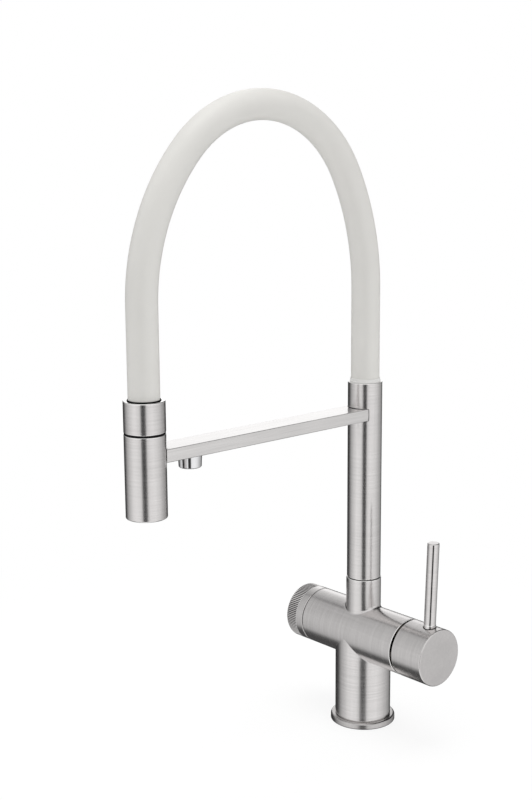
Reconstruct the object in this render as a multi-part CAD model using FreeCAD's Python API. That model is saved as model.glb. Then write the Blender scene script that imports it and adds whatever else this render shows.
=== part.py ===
"""Three-way kitchen mixer tap: lever-operated mixed water, knob-operated filtered water, pull-off spray.

Millimetres. The origin is the centre of the flange's underside, where the tap stands on the worktop.
+Z is up, +X runs along the barrel toward the lever, and the spray head hangs toward -Y.
"""
import FreeCAD
import Part

import math
import os

# Standing column and flange
BASE_D = 46.6
FLANGE_D = 54.2
FLANGE_H = 5.0
FLANGE_EDGE_R = 1.8
FOOT_STEP = 3.3
FOOT_RECESS = 1.0
SEAL_LAND = 2.0
SEAL_W = 3.8
SEAL_H = 2.0

# Barrel: its axis above the worktop, and its ends along X
BARREL_D = 46.8
BARREL_Z = 78.0
BARREL_RIGHT = 52.0
BARREL_LEFT = -50.2
EDGE_BREAK = 0.5

# Neck and turning column: NECK_RISE is from the barrel's axis to the neck's rim
NECK_D = 29.0
NECK_RISE = 48.0
NECK_FILLET = 2.5
COLUMN_D = 28.0
COLUMN_WALL = 1.4
COLUMN_LENGTH = 165.4
SWIVEL_GAP = 0.6
WEAR_RING_H = 0.45
SPIGOT_D = 20.0
SPIGOT_PLUG_H = 16.0
SPIGOT_DEPTH = 20.0
SPIGOT_BORE_D = 13.0
NECK_FLOOR_GAP = 2.0
NECK_SCREW_D = 4.0
NECK_SCREW_HEX = 2.0
NECK_SCREW_DROP = 10.5
SCREW_GROOVE_DEPTH = 1.5
SCREW_TIP_CLEARANCE = 0.5

# Water ways in the body
INLET_D = 10.0
INLET_DEPTH = 12.0
INLET_CIRCLE_D = 24.0
STUD_D = 8.0
STUD_DEPTH = 15.0
SUPPLY_WAY_D = 6.0
MIXED_WAY_D = 5.2
MIXED_WAY_LAND = 0.4
FILTER_WAY_D = 5.0
RISER_D = 8.0
RISER_WALL = 1.0
RISER_BEND_R = 8.0
RISER_SOCKET_DEPTH = 6.0

# Cartridge: its face lies CARTRIDGE_RECESS inside the barrel's end
CARTRIDGE_D = 35.0
CARTRIDGE_LENGTH = 23.7
CARTRIDGE_RECESS = 8.0
PORT_D = 6.4
PORT_DEPTH = 4.0
PORT_SIDE_Y = 8.5
PORT_SIDE_DROP = 6.0
PORT_OUT_RISE = 8.0
PORT_SEAL_D = 9.0
PORT_SEAL_H = 2.0
PEG_D = 4.0
PEG_LENGTH = 2.5
NUT_STEP = 1.6
NUT_CLEARANCE = 0.7
NUT_LENGTH = 7.4
NUT_SLOTS = 4
NUT_SLOT_W = 5.0
NUT_SLOT_DEPTH = 2.6
TURRET_D = 18.0
TURRET_LENGTH = 18.3
TURRET_FLOOR = 1.0
PIVOT_DEPTH = 10.0
PIVOT_D = 3.0
PIVOT_RECESS = 0.5
STEM_SIDE = 8.0
STEM_TAIL = 2.6
STEM_TAIL_GAP = 1.0
STEM_END_GAP = 3.9

# Lever cap and rod: ROD_RISE is from the barrel's axis to the rod's tip
LIFT_ANGLE = 10.0
CAP_GAP = 2.2
CAP_LENGTH = 30.7
CAP_WALL = 3.0
CAP_FACE_THICKNESS = 4.0
CAP_EDGE_R = 0.9
CAP_LIFT_CLEARANCE = 0.35
BOSS_D = 18.0
BOSS_LENGTH = 21.0
ROD_BOSS_D = 13.0
ROD_D = 9.6
ROD_INSET = 11.4
ROD_LEAN = 2.0
ROD_RISE = 94.2
ROD_END_R = 0.8
ROD_THREAD_D = 6.0
ROD_THREAD_LENGTH = 11.0
GRUB_LENGTH = 6.0
GRUB_HEX = 3.0

# Filter knob
KNOB_LENGTH = 19.6
KNOB_GAP = 0.6
KNOB_WALL = 5.2
KNOB_FACE_THICKNESS = 4.0
KNOB_EDGE = 0.8
DISH_MARGIN = 6.9
DISH_DEPTH = 0.7
KNURL_LENGTH = 10.6
KNURL_COUNT = 90
KNURL_DEPTH = 0.55
HUB_D = 17.0
HUB_LENGTH = 11.0
HUB_FLANGE_H = 2.2
KNOB_SCREW_D = 4.0
KNOB_SCREW_LENGTH = 4.4
KNOB_SCREW_HEX = 2.0
KNOB_SCREW_INSET = 2.6
KNOB_ACCESS_D = 4.4
SPINDLE_D = 8.0
SPINDLE_FLAT = 1.0
SPINDLE_STEP = 0.5

# Filter valve: its shoulder lies VALVE_RECESS inside the barrel's end
VALVE_D = 18.4
VALVE_RECESS = 6.2
VALVE_SHANK_LENGTH = 15.7
VALVE_HEX = 22.0
VALVE_HEX_H = 4.2
VALVE_HEX_CLEARANCE = 0.4
VALVE_NOSE_D = 12.4
VALVE_NOSE_LENGTH = 4.2
VALVE_SEAL_H = 1.2
VALVE_FLOOR = 7.7
VALVE_INLET_DROP = 6.0

# Hose and its fittings: BEND_RISE is the straight above the column before the arch begins
REACH = 223.0
HOSE_D = 23.2
HOSE_WALL = 2.0
WATER_HOSE_D = 17.0
WATER_HOSE_WALL = 2.2
BEND_RISE = 75.0
BEND_COLUMN_R = 198.0
BEND_COLUMN_ANGLE = 28.5
BEND_HEAD_R = 156.0
BEND_HEAD_ANGLE = 44.0
HOSE_SEAT_DEPTH = 6.0
HOSE_RING_STEP = 1.4
HOSE_RING_PROUD = 3.2
HOSE_RING_LIP = 0.45
NIPPLE_PLUG_H = 10.0
TAIL_LENGTH = 18.0
TAIL_WALL = 1.35
BARB_COUNT = 4
BARB_HEIGHT = 0.35
BARB_LENGTH = 2.5
SLEEVE_LENGTH = 14.0

# Dock arm and filter outlet: ARM_DROP is from the column's rim to the arm's top
ARM_DROP = 20.7
ARM_H = 9.8
ARM_W = 23.0
ARM_EDGE_R = 0.6
ARM_CHANNEL_D = 6.0
ARM_SOCKET_LENGTH = 8.0
DOCK_GAP = 0.3
MAGNET_D = 7.0
MAGNET_LENGTH = 4.5
MAGNET_RECESS = 0.5
OUTLET_INSET = 40.4
OUTLET_D = 17.8
OUTLET_TAPER = 0.4
OUTLET_H = 9.7
OUTLET_CHAMFER = 0.6
OUTLET_STUB_D = 13.0
OUTLET_STUB_H = 4.0
OUTLET_BORE_D = 11.2
OUTLET_THROAT_H = 2.4
SCREEN_H = 2.5
SCREEN_HOLE_D = 1.5
SCREEN_COUNTS = (1, 6, 12)
SCREEN_CIRCLE_RS = (0.0, 2.3, 4.4)

# Spray head: COLLAR_RISE is from the arm's top to the collar's underside
HEAD_D = 30.4
SHELL_LENGTH = 61.7
COLLAR_LENGTH = 23.0
COLLAR_RISE = 12.8
COLLAR_WALL = 1.7
COLLAR_CLEARANCE = 0.7
COLLAR_EDGE_R = 0.7
HEAD_GAP = 1.2
SHELL_SEAL_H = 0.85
SHELL_SEAL_RECESS = 0.9
SHELL_WALL = 1.8
SHELL_TOP_H = 3.0
SHELL_EDGE_R = 1.0
STEM_TUBE_D = 14.0
STEM_TUBE_LENGTH = 20.0
STEM_CLEARANCE = 0.3
STEM_SEAL_PITCH = 3.7
TAIL_FLANGE_H = 5.0
CLIP_H = 1.4
CLIP_D = 21.0
CLIP_SPLIT = 2.8
CLIP_DROP = 1.4
CLIP_GROOVE_DEPTH = 1.4
CORE_CHAMBER_H = 5.0
CORE_CHAMBER_WALL = 1.2
CORE_WAY_D = 9.0
CORE_JET_D = 2.6
CORE_JETS = 8
CORE_JET_CIRCLE_D = 17.0
PLATE_RECESS = 1.8
PLATE_H = 3.0
MAT_H = 3.2
NOZZLE_COUNTS = (22, 16)
NOZZLE_CIRCLE_RS = (11.2, 8.7)
NOZZLE_ROOT_D = 1.9
NOZZLE_TIP_D = 1.4
NOZZLE_PROUD = 0.7
AERATOR_D = 13.0
AERATOR_WALL = 1.2
AERATOR_BARS = 4
AERATOR_BAR_W = 0.7
AERATOR_GRID_H = 1.6
DOCK_RING_H = 16.0
DOCK_RING_WALL = 1.1

# Fits, each the gap on one side
RUNNING_FIT = 0.06
SEAT_FIT = 0.05
THREAD_FIT = 0.1
TILT_FIT = 0.15
HOSE_FIT = 0.3
O_RING_D = 1.54
O_RING_GROOVE_W = 2.3

# How far cutters run past the faces they open, and how near an edge must lie to be found
OVERRUN = 1.0
NEARNESS = 1e-3

foot_d = BASE_D - 2 * FOOT_STEP
seal_outer_d = FLANGE_D - 2 * SEAL_LAND
seal_inner_d = seal_outer_d - 2 * SEAL_W
neck_top = BARREL_Z + NECK_RISE
neck_bore_d = SPIGOT_D + 2 * RUNNING_FIT
neck_screw_z = neck_top - NECK_SCREW_DROP
column_bottom = neck_top + SWIVEL_GAP
column_top = column_bottom + COLUMN_LENGTH
column_bore_d = COLUMN_D - 2 * COLUMN_WALL
spigot_bottom = column_bottom - SPIGOT_DEPTH
neck_floor_z = spigot_bottom - NECK_FLOOR_GAP
riser_socket_z = neck_floor_z - RISER_SOCKET_DEPTH
riser_seal_z = riser_socket_z + RISER_SOCKET_DEPTH / 2
mixed_way_x = RISER_D / 2 + MIXED_WAY_LAND + MIXED_WAY_D / 2
cartridge_face_x = BARREL_RIGHT - CARTRIDGE_RECESS
cartridge_back_x = cartridge_face_x - CARTRIDGE_LENGTH
chamber_back_x = cartridge_back_x - RUNNING_FIT
nut_d = CARTRIDGE_D + 2 * NUT_STEP
nut_bore_d = TURRET_D + 2 * NUT_CLEARANCE
pivot_x = cartridge_face_x - PIVOT_DEPTH
turret_back_x = pivot_x - STEM_TAIL - STEM_TAIL_GAP - TURRET_FLOOR
cap_back_x = BARREL_RIGHT + CAP_GAP
cap_face_x = cap_back_x + CAP_LENGTH
cap_inner_x = cap_face_x - CAP_FACE_THICKNESS
stem_end_x = cap_inner_x - STEM_END_GAP
rod_x = cap_face_x - ROD_INSET
knob_back_x = BARREL_LEFT - KNOB_GAP
knob_end_x = knob_back_x - KNOB_LENGTH
knob_bore_d = BARREL_D - 2 * KNOB_WALL
hub_seat_x = knob_end_x + KNOB_FACE_THICKNESS
hub_end_x = hub_seat_x + HUB_LENGTH
knob_screw_x = hub_end_x - KNOB_SCREW_INSET
valve_shoulder_x = BARREL_LEFT + VALVE_RECESS
valve_inner_x = valve_shoulder_x + VALVE_SHANK_LENGTH
valve_floor_x = valve_inner_x - VALVE_FLOOR
valve_hex_x = valve_shoulder_x - VALVE_SEAL_H
valve_nose_x = valve_hex_x - VALVE_HEX_H
hose_seat_z = column_top - HOSE_SEAT_DEPTH
hose_bore_d = HOSE_D - 2 * HOSE_WALL
water_bore_d = WATER_HOSE_D - 2 * WATER_HOSE_WALL
bend_start_z = column_top + BEND_RISE
tail_r = water_bore_d / 2 - HOSE_FIT - BARB_HEIGHT
tail_bore_d = 2 * (tail_r - TAIL_WALL)
arm_top_z = column_top - ARM_DROP
arm_mid_z = arm_top_z - ARM_H / 2
arm_bottom_z = arm_top_z - ARM_H
outlet_y = OUTLET_INSET - REACH
outlet_low_z = arm_bottom_z - OUTLET_H
collar_bottom_z = arm_top_z + COLLAR_RISE
collar_top_z = collar_bottom_z + COLLAR_LENGTH
collar_nut_d = HEAD_D - 2 * COLLAR_WALL
tail_seat_z = collar_bottom_z + TAIL_FLANGE_H
stem_low_z = collar_bottom_z - STEM_TUBE_LENGTH
shell_top_z = collar_bottom_z - HEAD_GAP
shell_low_z = shell_top_z - SHELL_LENGTH
shell_bore_d = HEAD_D - 2 * SHELL_WALL
core_d = shell_bore_d - 2 * SEAT_FIT
core_top_z = shell_top_z - SHELL_TOP_H - SEAT_FIT
clip_z = core_top_z - CLIP_DROP - CLIP_H
plate_low_z = shell_low_z + PLATE_RECESS
plate_top_z = plate_low_z + PLATE_H
core_low_z = plate_top_z + MAT_H
dock_ring_z = arm_mid_z - DOCK_RING_H / 2
dock_ring_bore_d = core_d - 2 * DOCK_RING_WALL
o_ring_r = O_RING_D / 2
X_AXIS = FreeCAD.Vector(1, 0, 0)
Y_AXIS = FreeCAD.Vector(0, 1, 0)
Z_AXIS = FreeCAD.Vector(0, 0, 1)


def vec(x, y, z):
    return FreeCAD.Vector(x, y, z)


def cyl_z(d, z0, z1, x=0.0, y=0.0):
    """Upright cylinder of diameter d."""
    return Part.makeCylinder(d / 2, z1 - z0, vec(x, y, z0), Z_AXIS)


def cyl_x(d, x0, x1, y=0.0, z=BARREL_Z):
    """Cylinder of diameter d along X, on the barrel's axis unless y and z say otherwise."""
    low, high = min(x0, x1), max(x0, x1)
    return Part.makeCylinder(d / 2, high - low, vec(low, y, z), X_AXIS)


def cyl_y(d, y0, y1, x=0.0, z=arm_mid_z):
    """Cylinder of diameter d along Y, at the height of the arm's channel unless told otherwise."""
    low, high = min(y0, y1), max(y0, y1)
    return Part.makeCylinder(d / 2, high - low, vec(x, low, z), Y_AXIS)


def box(x0, x1, y0, y1, z0, z1):
    return Part.makeBox(x1 - x0, y1 - y0, z1 - z0, vec(x0, y0, z0))


def ring_z(outer_d, inner_d, z0, z1, x=0.0, y=0.0):
    return cyl_z(outer_d, z0, z1, x, y).cut(cyl_z(inner_d, z0 - OVERRUN, z1 + OVERRUN, x, y))


def ring_x(outer_d, inner_d, x0, x1):
    low, high = min(x0, x1), max(x0, x1)
    return cyl_x(outer_d, low, high).cut(cyl_x(inner_d, low - OVERRUN, high + OVERRUN))


def turned(profile, x=0.0, y=0.0):
    """Solid of revolution about an upright axis from (radius, height) points."""
    points = [vec(x + r, y, z) for r, z in profile]
    face = Part.Face(Part.makePolygon(points + points[:1]))
    return face.revolve(vec(x, y, 0), Z_AXIS, 360)


def turned_x(profile):
    """Solid turned about the barrel's axis from (x, radius) points, with its seam along the bottom."""
    points = [vec(x, 0, BARREL_Z - r) for x, r in profile]
    face = Part.Face(Part.makePolygon(points + points[:1]))
    return face.revolve(vec(0, 0, BARREL_Z), X_AXIS, 360)


def round_ring_edges(shape, radius, diameter, z, x=0.0, y=0.0):
    """Fillets the circular edge of the given diameter that lies at height z round the axis at x, y."""
    edges = [e for e in shape.Edges if is_circle(e, diameter, vec(x, y, z))]
    return shape.makeFillet(radius, edges)


def is_circle(edge, diameter, centre):
    curve = edge.Curve
    if not isinstance(curve, Part.Circle):
        return False
    return abs(curve.Radius - diameter / 2) < NEARNESS and (curve.Center - centre).Length < NEARNESS


def o_ring_z(centre_r, z, x=0.0, y=0.0):
    return Part.makeTorus(centre_r, o_ring_r, vec(x, y, z), Z_AXIS)


def hexagon(across_flats, foot, run):
    """Hexagonal prism that starts at foot and runs along the vector run."""
    points = [vec(x, y, 0) for x, y in ring_places(6, across_flats / math.sqrt(3))]
    prism = Part.Face(Part.makePolygon(points + points[:1])).extrude(vec(0, 0, run.Length))
    prism.Placement = FreeCAD.Placement(foot, FreeCAD.Rotation(Z_AXIS, run))
    return prism


def ring_places(count, radius, x=0.0, y=0.0):
    """Evenly spaced places on a circle, as (x, y) pairs."""
    turns = [2 * math.pi * k / count for k in range(count)]
    return [(x + radius * math.cos(t), y + radius * math.sin(t)) for t in turns]


def single(shape):
    """One clean solid from the result of a cut or a fuse."""
    solids = shape.removeSplitter().Solids
    if len(solids) != 1:
        raise ValueError("expected one solid, found %d" % len(solids))
    return solids[0]


# Standing column, barrel and neck


def base_flange():
    """Ring that the body stands in, with a rounded upper edge and a groove for the seal."""
    ring = ring_z(FLANGE_D, foot_d + 2 * SEAT_FIT, 0, FLANGE_H)
    ring = round_ring_edges(ring, FLANGE_EDGE_R, FLANGE_D, FLANGE_H)
    return single(ring.cut(ring_z(seal_outer_d, seal_inner_d, -OVERRUN, SEAL_H)))


def base_seal():
    return ring_z(seal_outer_d - 2 * THREAD_FIT, seal_inner_d + 2 * THREAD_FIT, 0, SEAL_H)


def inlet_places():
    """Hot, cold and filtered inlets, evenly round the stud: two toward the lever, one toward the knob."""
    radius = INLET_CIRCLE_D / 2
    side = radius * math.sin(math.radians(60))
    along = radius * math.cos(math.radians(60))
    return {"hot": (along, -side), "cold": (along, side), "filter": (-radius, 0.0)}


def port_places():
    """The cartridge's ports seen along the barrel, as (y, z) pairs: hot, cold and mixed."""
    low = BARREL_Z - PORT_SIDE_DROP
    return {"hot": (-PORT_SIDE_Y, low), "cold": (PORT_SIDE_Y, low), "mixed": (0.0, BARREL_Z + PORT_OUT_RISE)}


def water_ways():
    """Everything drilled inside the casting, as one list of cutters."""
    ways = []
    inlets, ports = inlet_places(), port_places()
    inlet_top = FOOT_RECESS + INLET_DEPTH - OVERRUN
    for name in ("hot", "cold"):
        x, y = inlets[name]
        port_y, port_z = ports[name]
        ways.append(cyl_z(SUPPLY_WAY_D, inlet_top, port_z + SUPPLY_WAY_D / 2, x, y))
        ways.append(cyl_x(SUPPLY_WAY_D, x - SUPPLY_WAY_D / 2, chamber_back_x + OVERRUN, port_y, port_z))
    mixed_y, mixed_z = ports["mixed"]
    mixed_start = mixed_way_x - MIXED_WAY_D / 2
    ways.append(cyl_x(MIXED_WAY_D, mixed_start, chamber_back_x + OVERRUN, mixed_y, mixed_z))
    ways.append(cyl_z(MIXED_WAY_D, mixed_z, neck_floor_z + OVERRUN, mixed_way_x, mixed_y))
    x, y = inlets["filter"]
    valve_z = BARREL_Z - VALVE_INLET_DROP
    ways.append(cyl_z(FILTER_WAY_D, inlet_top, valve_z + FILTER_WAY_D / 2, x, y))
    ways.append(cyl_x(FILTER_WAY_D, valve_inner_x, x + FILTER_WAY_D / 2, y, valve_z))
    ways.append(cyl_x(FILTER_WAY_D, valve_inner_x, FILTER_WAY_D / 2))
    ways.append(cyl_z(FILTER_WAY_D, BARREL_Z, riser_socket_z + OVERRUN))
    return ways


def riser_groove():
    """Cutter for the groove that holds the riser's seal."""
    half = O_RING_GROOVE_W / 2
    outer_d = RISER_D + 2 * RUNNING_FIT + 2 * O_RING_D
    return ring_z(outer_d, RISER_D, riser_seal_z - half, riser_seal_z + half)


def mixer_body():
    """The casting: column, barrel and neck, bored for cartridge, valve, spigot and water ways."""
    column = cyl_z(BASE_D, FLANGE_H, BARREL_Z)
    foot = cyl_z(foot_d, FOOT_RECESS, BARREL_Z)
    half = BARREL_D / 2
    rim = half - EDGE_BREAK
    barrel = turned_x([(BARREL_LEFT, 0), (BARREL_LEFT, rim), (BARREL_LEFT + EDGE_BREAK, half),
                       (BARREL_RIGHT - EDGE_BREAK, half), (BARREL_RIGHT, rim), (BARREL_RIGHT, 0)])
    neck_r = NECK_D / 2
    neck = turned([(0, BARREL_Z), (neck_r, BARREL_Z), (neck_r, neck_top - EDGE_BREAK),
                   (neck_r - EDGE_BREAK, neck_top), (0, neck_top)])
    top = barrel.fuse(neck)
    seam = [e for e in top.Edges if is_neck_seam(e)]
    body = top.makeFillet(NECK_FILLET, seam).fuse([column, foot])
    right_end, left_end = BARREL_RIGHT + OVERRUN, BARREL_LEFT - OVERRUN
    pocket_d = 2 * (VALVE_HEX / math.sqrt(3) + VALVE_HEX_CLEARANCE)
    cutters = [
        cyl_x(CARTRIDGE_D + 2 * THREAD_FIT, chamber_back_x, right_end),
        cyl_x(nut_d + 2 * THREAD_FIT, cartridge_face_x, right_end),
        cyl_x(VALVE_D + 2 * THREAD_FIT, valve_inner_x + RUNNING_FIT, left_end),
        cyl_x(pocket_d, valve_shoulder_x, left_end),
        cyl_z(neck_bore_d, neck_floor_z, neck_top + OVERRUN),
        cyl_z(RISER_D + 2 * RUNNING_FIT, riser_socket_z, neck_floor_z + OVERRUN),
        riser_groove(),
        cyl_z(STUD_D, 0, FOOT_RECESS + STUD_DEPTH),
        cyl_y(NECK_SCREW_D, 0, NECK_D, 0, neck_screw_z),
    ]
    cutters += [cyl_z(INLET_D, 0, FOOT_RECESS + INLET_DEPTH, x, y) for x, y in inlet_places().values()]
    cutters += [cyl_x(PEG_D + 2 * THREAD_FIT, chamber_back_x - PEG_LENGTH, chamber_back_x + OVERRUN, y, z)
                for y, z in peg_places()]
    return single(body.cut(cutters + water_ways()))


def is_neck_seam(edge):
    """True for the curve that lies on the neck and on the barrel's top at once."""
    first, last = edge.ParameterRange
    for place in (edge.valueAt(first), edge.valueAt((first + last) / 2), edge.valueAt(last)):
        off_neck = abs(math.hypot(place.x, place.y) - NECK_D / 2)
        off_barrel = abs(math.hypot(place.y, place.z - BARREL_Z) - BARREL_D / 2)
        if place.z < BARREL_Z or max(off_neck, off_barrel) > NEARNESS:
            return False
    return True


def riser_seal():
    """O-ring in the body's groove, round the riser's foot."""
    return o_ring_z(RISER_D / 2 + RUNNING_FIT / 2 + o_ring_r, riser_seal_z)


# Cartridge


def peg_places():
    """Two locating pegs on the cartridge's back, as (y, z) pairs."""
    offset = CARTRIDGE_D / 2 - PEG_D
    return [(side * offset, BARREL_Z + PEG_D / 2) for side in (-1, 1)]


def mixer_cartridge():
    """Plastic cartridge with three ports in its back and a bore for the turret in its face."""
    body = cyl_x(CARTRIDGE_D, cartridge_back_x, cartridge_face_x)
    peg_end = cartridge_back_x - PEG_LENGTH + THREAD_FIT
    body = body.fuse([cyl_x(PEG_D, peg_end, cartridge_back_x + OVERRUN, y, z) for y, z in peg_places()])
    behind = cartridge_back_x - OVERRUN
    cutters = [cyl_x(TURRET_D + 2 * RUNNING_FIT, turret_back_x - RUNNING_FIT, cartridge_face_x + OVERRUN)]
    for y, z in port_places().values():
        cutters.append(cyl_x(PORT_D, behind, cartridge_back_x + PORT_DEPTH, y, z))
        cutters.append(cyl_x(PORT_SEAL_D + 2 * SEAT_FIT, behind, cartridge_back_x + PORT_SEAL_H, y, z))
    return single(body.cut(cutters))


def cartridge_seals():
    """Three port seals, one solid each."""
    front = cartridge_back_x + PORT_SEAL_H - SEAT_FIT
    rings = [cyl_x(PORT_SEAL_D, chamber_back_x, front, y, z).cut(
        cyl_x(PORT_D, chamber_back_x - OVERRUN, front + OVERRUN, y, z)) for y, z in port_places().values()]
    return Part.makeCompound(rings)


def cartridge_nut():
    """Threaded ring that clamps the cartridge, with slots for a pin wrench."""
    front = cartridge_face_x + NUT_LENGTH
    ring = ring_x(nut_d, nut_bore_d, cartridge_face_x, front)
    slot = box(front - NUT_SLOT_DEPTH, front + OVERRUN, -NUT_SLOT_W / 2, NUT_SLOT_W / 2,
               BARREL_Z + nut_bore_d / 2 + NUT_SLOT_DEPTH, BARREL_Z + nut_d)
    slots = []
    for k in range(NUT_SLOTS):
        turned_slot = slot.copy()
        turned_slot.rotate(vec(0, 0, BARREL_Z), X_AXIS, 360 * (k + 0.5) / NUT_SLOTS)
        slots.append(turned_slot)
    return single(ring.cut(slots))


def cartridge_turret():
    """Round carrier that turns with the lever, slotted so that the stem can tip in it."""
    front = turret_back_x + TURRET_LENGTH
    body = cyl_x(TURRET_D, turret_back_x, front)
    half = STEM_SIDE / 2
    slope = math.tan(math.radians(LIFT_ANGLE))
    low = BARREL_Z - half - (front - pivot_x) * slope - TILT_FIT
    high = BARREL_Z + half + STEM_TAIL * slope + TILT_FIT
    slot = box(turret_back_x + TURRET_FLOOR, front + OVERRUN, -half - TILT_FIT, half + TILT_FIT, low, high)
    return single(body.cut([slot, pivot_bar(PIVOT_D, TURRET_D)]))


def pivot_bar(diameter, half_length):
    """Cylinder along Y on the pivot that the stem tips about."""
    return cyl_y(diameter, -half_length, half_length, pivot_x, BARREL_Z)


def pivot_pin():
    """Pin through the turret that the stem tips on."""
    return pivot_bar(PIVOT_D, TURRET_D / 2 - PIVOT_RECESS)


def lever_stem():
    """Square bar from the cartridge into the cap, hinged on the pin."""
    half = STEM_SIDE / 2
    bar = box(pivot_x - STEM_TAIL, stem_end_x, -half, half, BARREL_Z - half, BARREL_Z + half)
    return single(bar.cut(pivot_bar(PIVOT_D + 2 * RUNNING_FIT, STEM_SIDE)))


# Lever cap and rod


def lifted(shape, angle=LIFT_ANGLE):
    """The shape tipped about the stem's pivot, top toward +X."""
    moved = shape.copy()
    moved.rotate(vec(pivot_x, 0, BARREL_Z), Y_AXIS, angle)
    return moved


def along_rod(shape):
    """A shape built upright round the rod's place on the barrel's axis, leaned as the rod leans."""
    moved = shape.copy()
    moved.rotate(vec(rod_x, 0, BARREL_Z), Y_AXIS, ROD_LEAN)
    return moved


def lever_cap():
    """Hollow cap as wide as the barrel, relieved low at the back so that it can tip."""
    half = BARREL_D / 2
    shell = turned_x([(cap_back_x, 0), (cap_back_x, half - EDGE_BREAK), (cap_back_x + EDGE_BREAK, half),
                      (cap_face_x, half), (cap_face_x, 0)])
    rim = [e for e in shell.Edges if is_circle(e, BARREL_D, vec(cap_face_x, 0, BARREL_Z))]
    shell = shell.makeFillet(CAP_EDGE_R, rim)
    cavity = cyl_x(BARREL_D - 2 * CAP_WALL, cap_back_x - OVERRUN, cap_inner_x)
    boss_x = cap_inner_x - BOSS_LENGTH
    boss = cyl_x(BOSS_D, boss_x, cap_inner_x)
    rod_boss = along_rod(cyl_z(ROD_BOSS_D, BARREL_Z, BARREL_Z + half - CAP_WALL / 2, rod_x))
    body = shell.cut(cavity.cut([boss, rod_boss]))
    socket = STEM_SIDE / 2 + SEAT_FIT
    low, high = BARREL_Z - BARREL_D, BARREL_Z + BARREL_D
    relief = box(cap_back_x - BARREL_D, BARREL_RIGHT + CAP_LIFT_CLEARANCE, -BARREL_D, BARREL_D, low, high)
    cutters = [
        box(boss_x - OVERRUN, stem_end_x + SEAT_FIT, -socket, socket, BARREL_Z - socket, BARREL_Z + socket),
        along_rod(cyl_z(ROD_THREAD_D, BARREL_Z, high, rod_x)),
        lifted(relief, -LIFT_ANGLE),
    ]
    return single(body.cut(cutters))


def lever_rod():
    """Rod seated on the cap's curve, with a threaded stub below it."""
    foot_z = BARREL_Z + BARREL_D / 2
    tip_z = BARREL_Z + ROD_RISE / math.cos(math.radians(ROD_LEAN))
    rod = round_ring_edges(cyl_z(ROD_D, BARREL_Z, tip_z, rod_x), ROD_END_R, ROD_D, tip_z, rod_x)
    stub = cyl_z(ROD_THREAD_D - 2 * THREAD_FIT, foot_z - ROD_THREAD_LENGTH, foot_z + OVERRUN, rod_x)
    bar = along_rod(rod).cut(cyl_x(BARREL_D + 2 * SEAT_FIT, cap_back_x, cap_face_x + ROD_D))
    return single(bar.fuse(along_rod(stub)))


def stem_grub_screw():
    """Grub screw under the rod that clamps the cap to the stem."""
    lean_drop = ROD_THREAD_D / 2 * math.tan(math.radians(ROD_LEAN))
    low = BARREL_Z + STEM_SIDE / 2 + SEAT_FIT + lean_drop
    body = cyl_z(ROD_THREAD_D - 2 * THREAD_FIT, low, low + GRUB_LENGTH, rod_x)
    socket = hexagon(GRUB_HEX, vec(rod_x, 0, low + GRUB_LENGTH / 2), vec(0, 0, GRUB_LENGTH))
    return single(along_rod(body.cut(socket)))


# Filter knob and valve


def knurl_blank():
    """Prism whose section is a ring of V ridges, as deep as the knurl and as long as the knurled rim."""
    crest, root = BARREL_D / 2, BARREL_D / 2 - KNURL_DEPTH
    points = []
    for k in range(2 * KNURL_COUNT):
        turn = math.pi * k / KNURL_COUNT
        radius = crest if k % 2 == 0 else root
        points.append(vec(knob_end_x, radius * math.cos(turn), BARREL_Z + radius * math.sin(turn)))
    return Part.Face(Part.makePolygon(points + points[:1])).extrude(vec(KNURL_LENGTH, 0, 0))


def filter_knob():
    """Turned knob with a straight knurl round its outer rim and a plain band beside the barrel."""
    half = BARREL_D / 2
    knurl_end = knob_end_x + KNURL_LENGTH
    past = half + OVERRUN
    blank = turned_x([(knob_back_x, 0), (knob_back_x, half - EDGE_BREAK), (knob_back_x - EDGE_BREAK, half),
                      (knurl_end, half), (knurl_end, 0)])
    rim = turned_x([(knurl_end, 0), (knurl_end, half - KNURL_DEPTH), (knurl_end - KNURL_DEPTH, past),
                    (knob_end_x + KNOB_EDGE, past), (knob_end_x + KNOB_EDGE, half),
                    (knob_end_x, half - KNOB_EDGE), (knob_end_x, 0)])
    body = blank.fuse(knurl_blank().common(rim))
    cavity = cyl_x(knob_bore_d, knob_back_x + OVERRUN, hub_seat_x)
    dish_r = half - DISH_MARGIN
    floor_x, open_x = knob_end_x + DISH_DEPTH, knob_end_x - OVERRUN
    dish = turned_x([(open_x, 0), (open_x, dish_r), (knob_end_x, dish_r), (floor_x, dish_r - DISH_DEPTH),
                     (floor_x, 0)])
    access = cyl_z(KNOB_ACCESS_D, BARREL_Z - BARREL_D, BARREL_Z - HUB_D / 2, knob_screw_x)
    return single(body.cut([cavity, dish, access]))


def knob_hub():
    """Plastic hub that carries the knob on the spindle."""
    flange = cyl_x(knob_bore_d - 2 * SEAT_FIT, hub_seat_x, hub_seat_x + HUB_FLANGE_H)
    body = flange.fuse(cyl_x(HUB_D, hub_seat_x, hub_end_x))
    bore = spindle_bar(SPINDLE_D / 2 + SEAT_FIT, hub_seat_x + HUB_FLANGE_H, hub_end_x + OVERRUN, SEAT_FIT)
    thread = cyl_z(KNOB_SCREW_D, BARREL_Z - HUB_D, BARREL_Z, knob_screw_x)
    return single(body.cut([bore, thread]))


def spindle_bar(radius, x0, x1, gap=0.0):
    """Round bar with the spindle's flat underneath, set lower by gap where it is a bore."""
    flat_z = BARREL_Z - SPINDLE_D / 2 + SPINDLE_FLAT - gap
    below = box(x0 - OVERRUN, x1 + OVERRUN, -SPINDLE_D, SPINDLE_D, flat_z - SPINDLE_D, flat_z)
    return cyl_x(2 * radius, x0, x1).cut(below)


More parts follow.
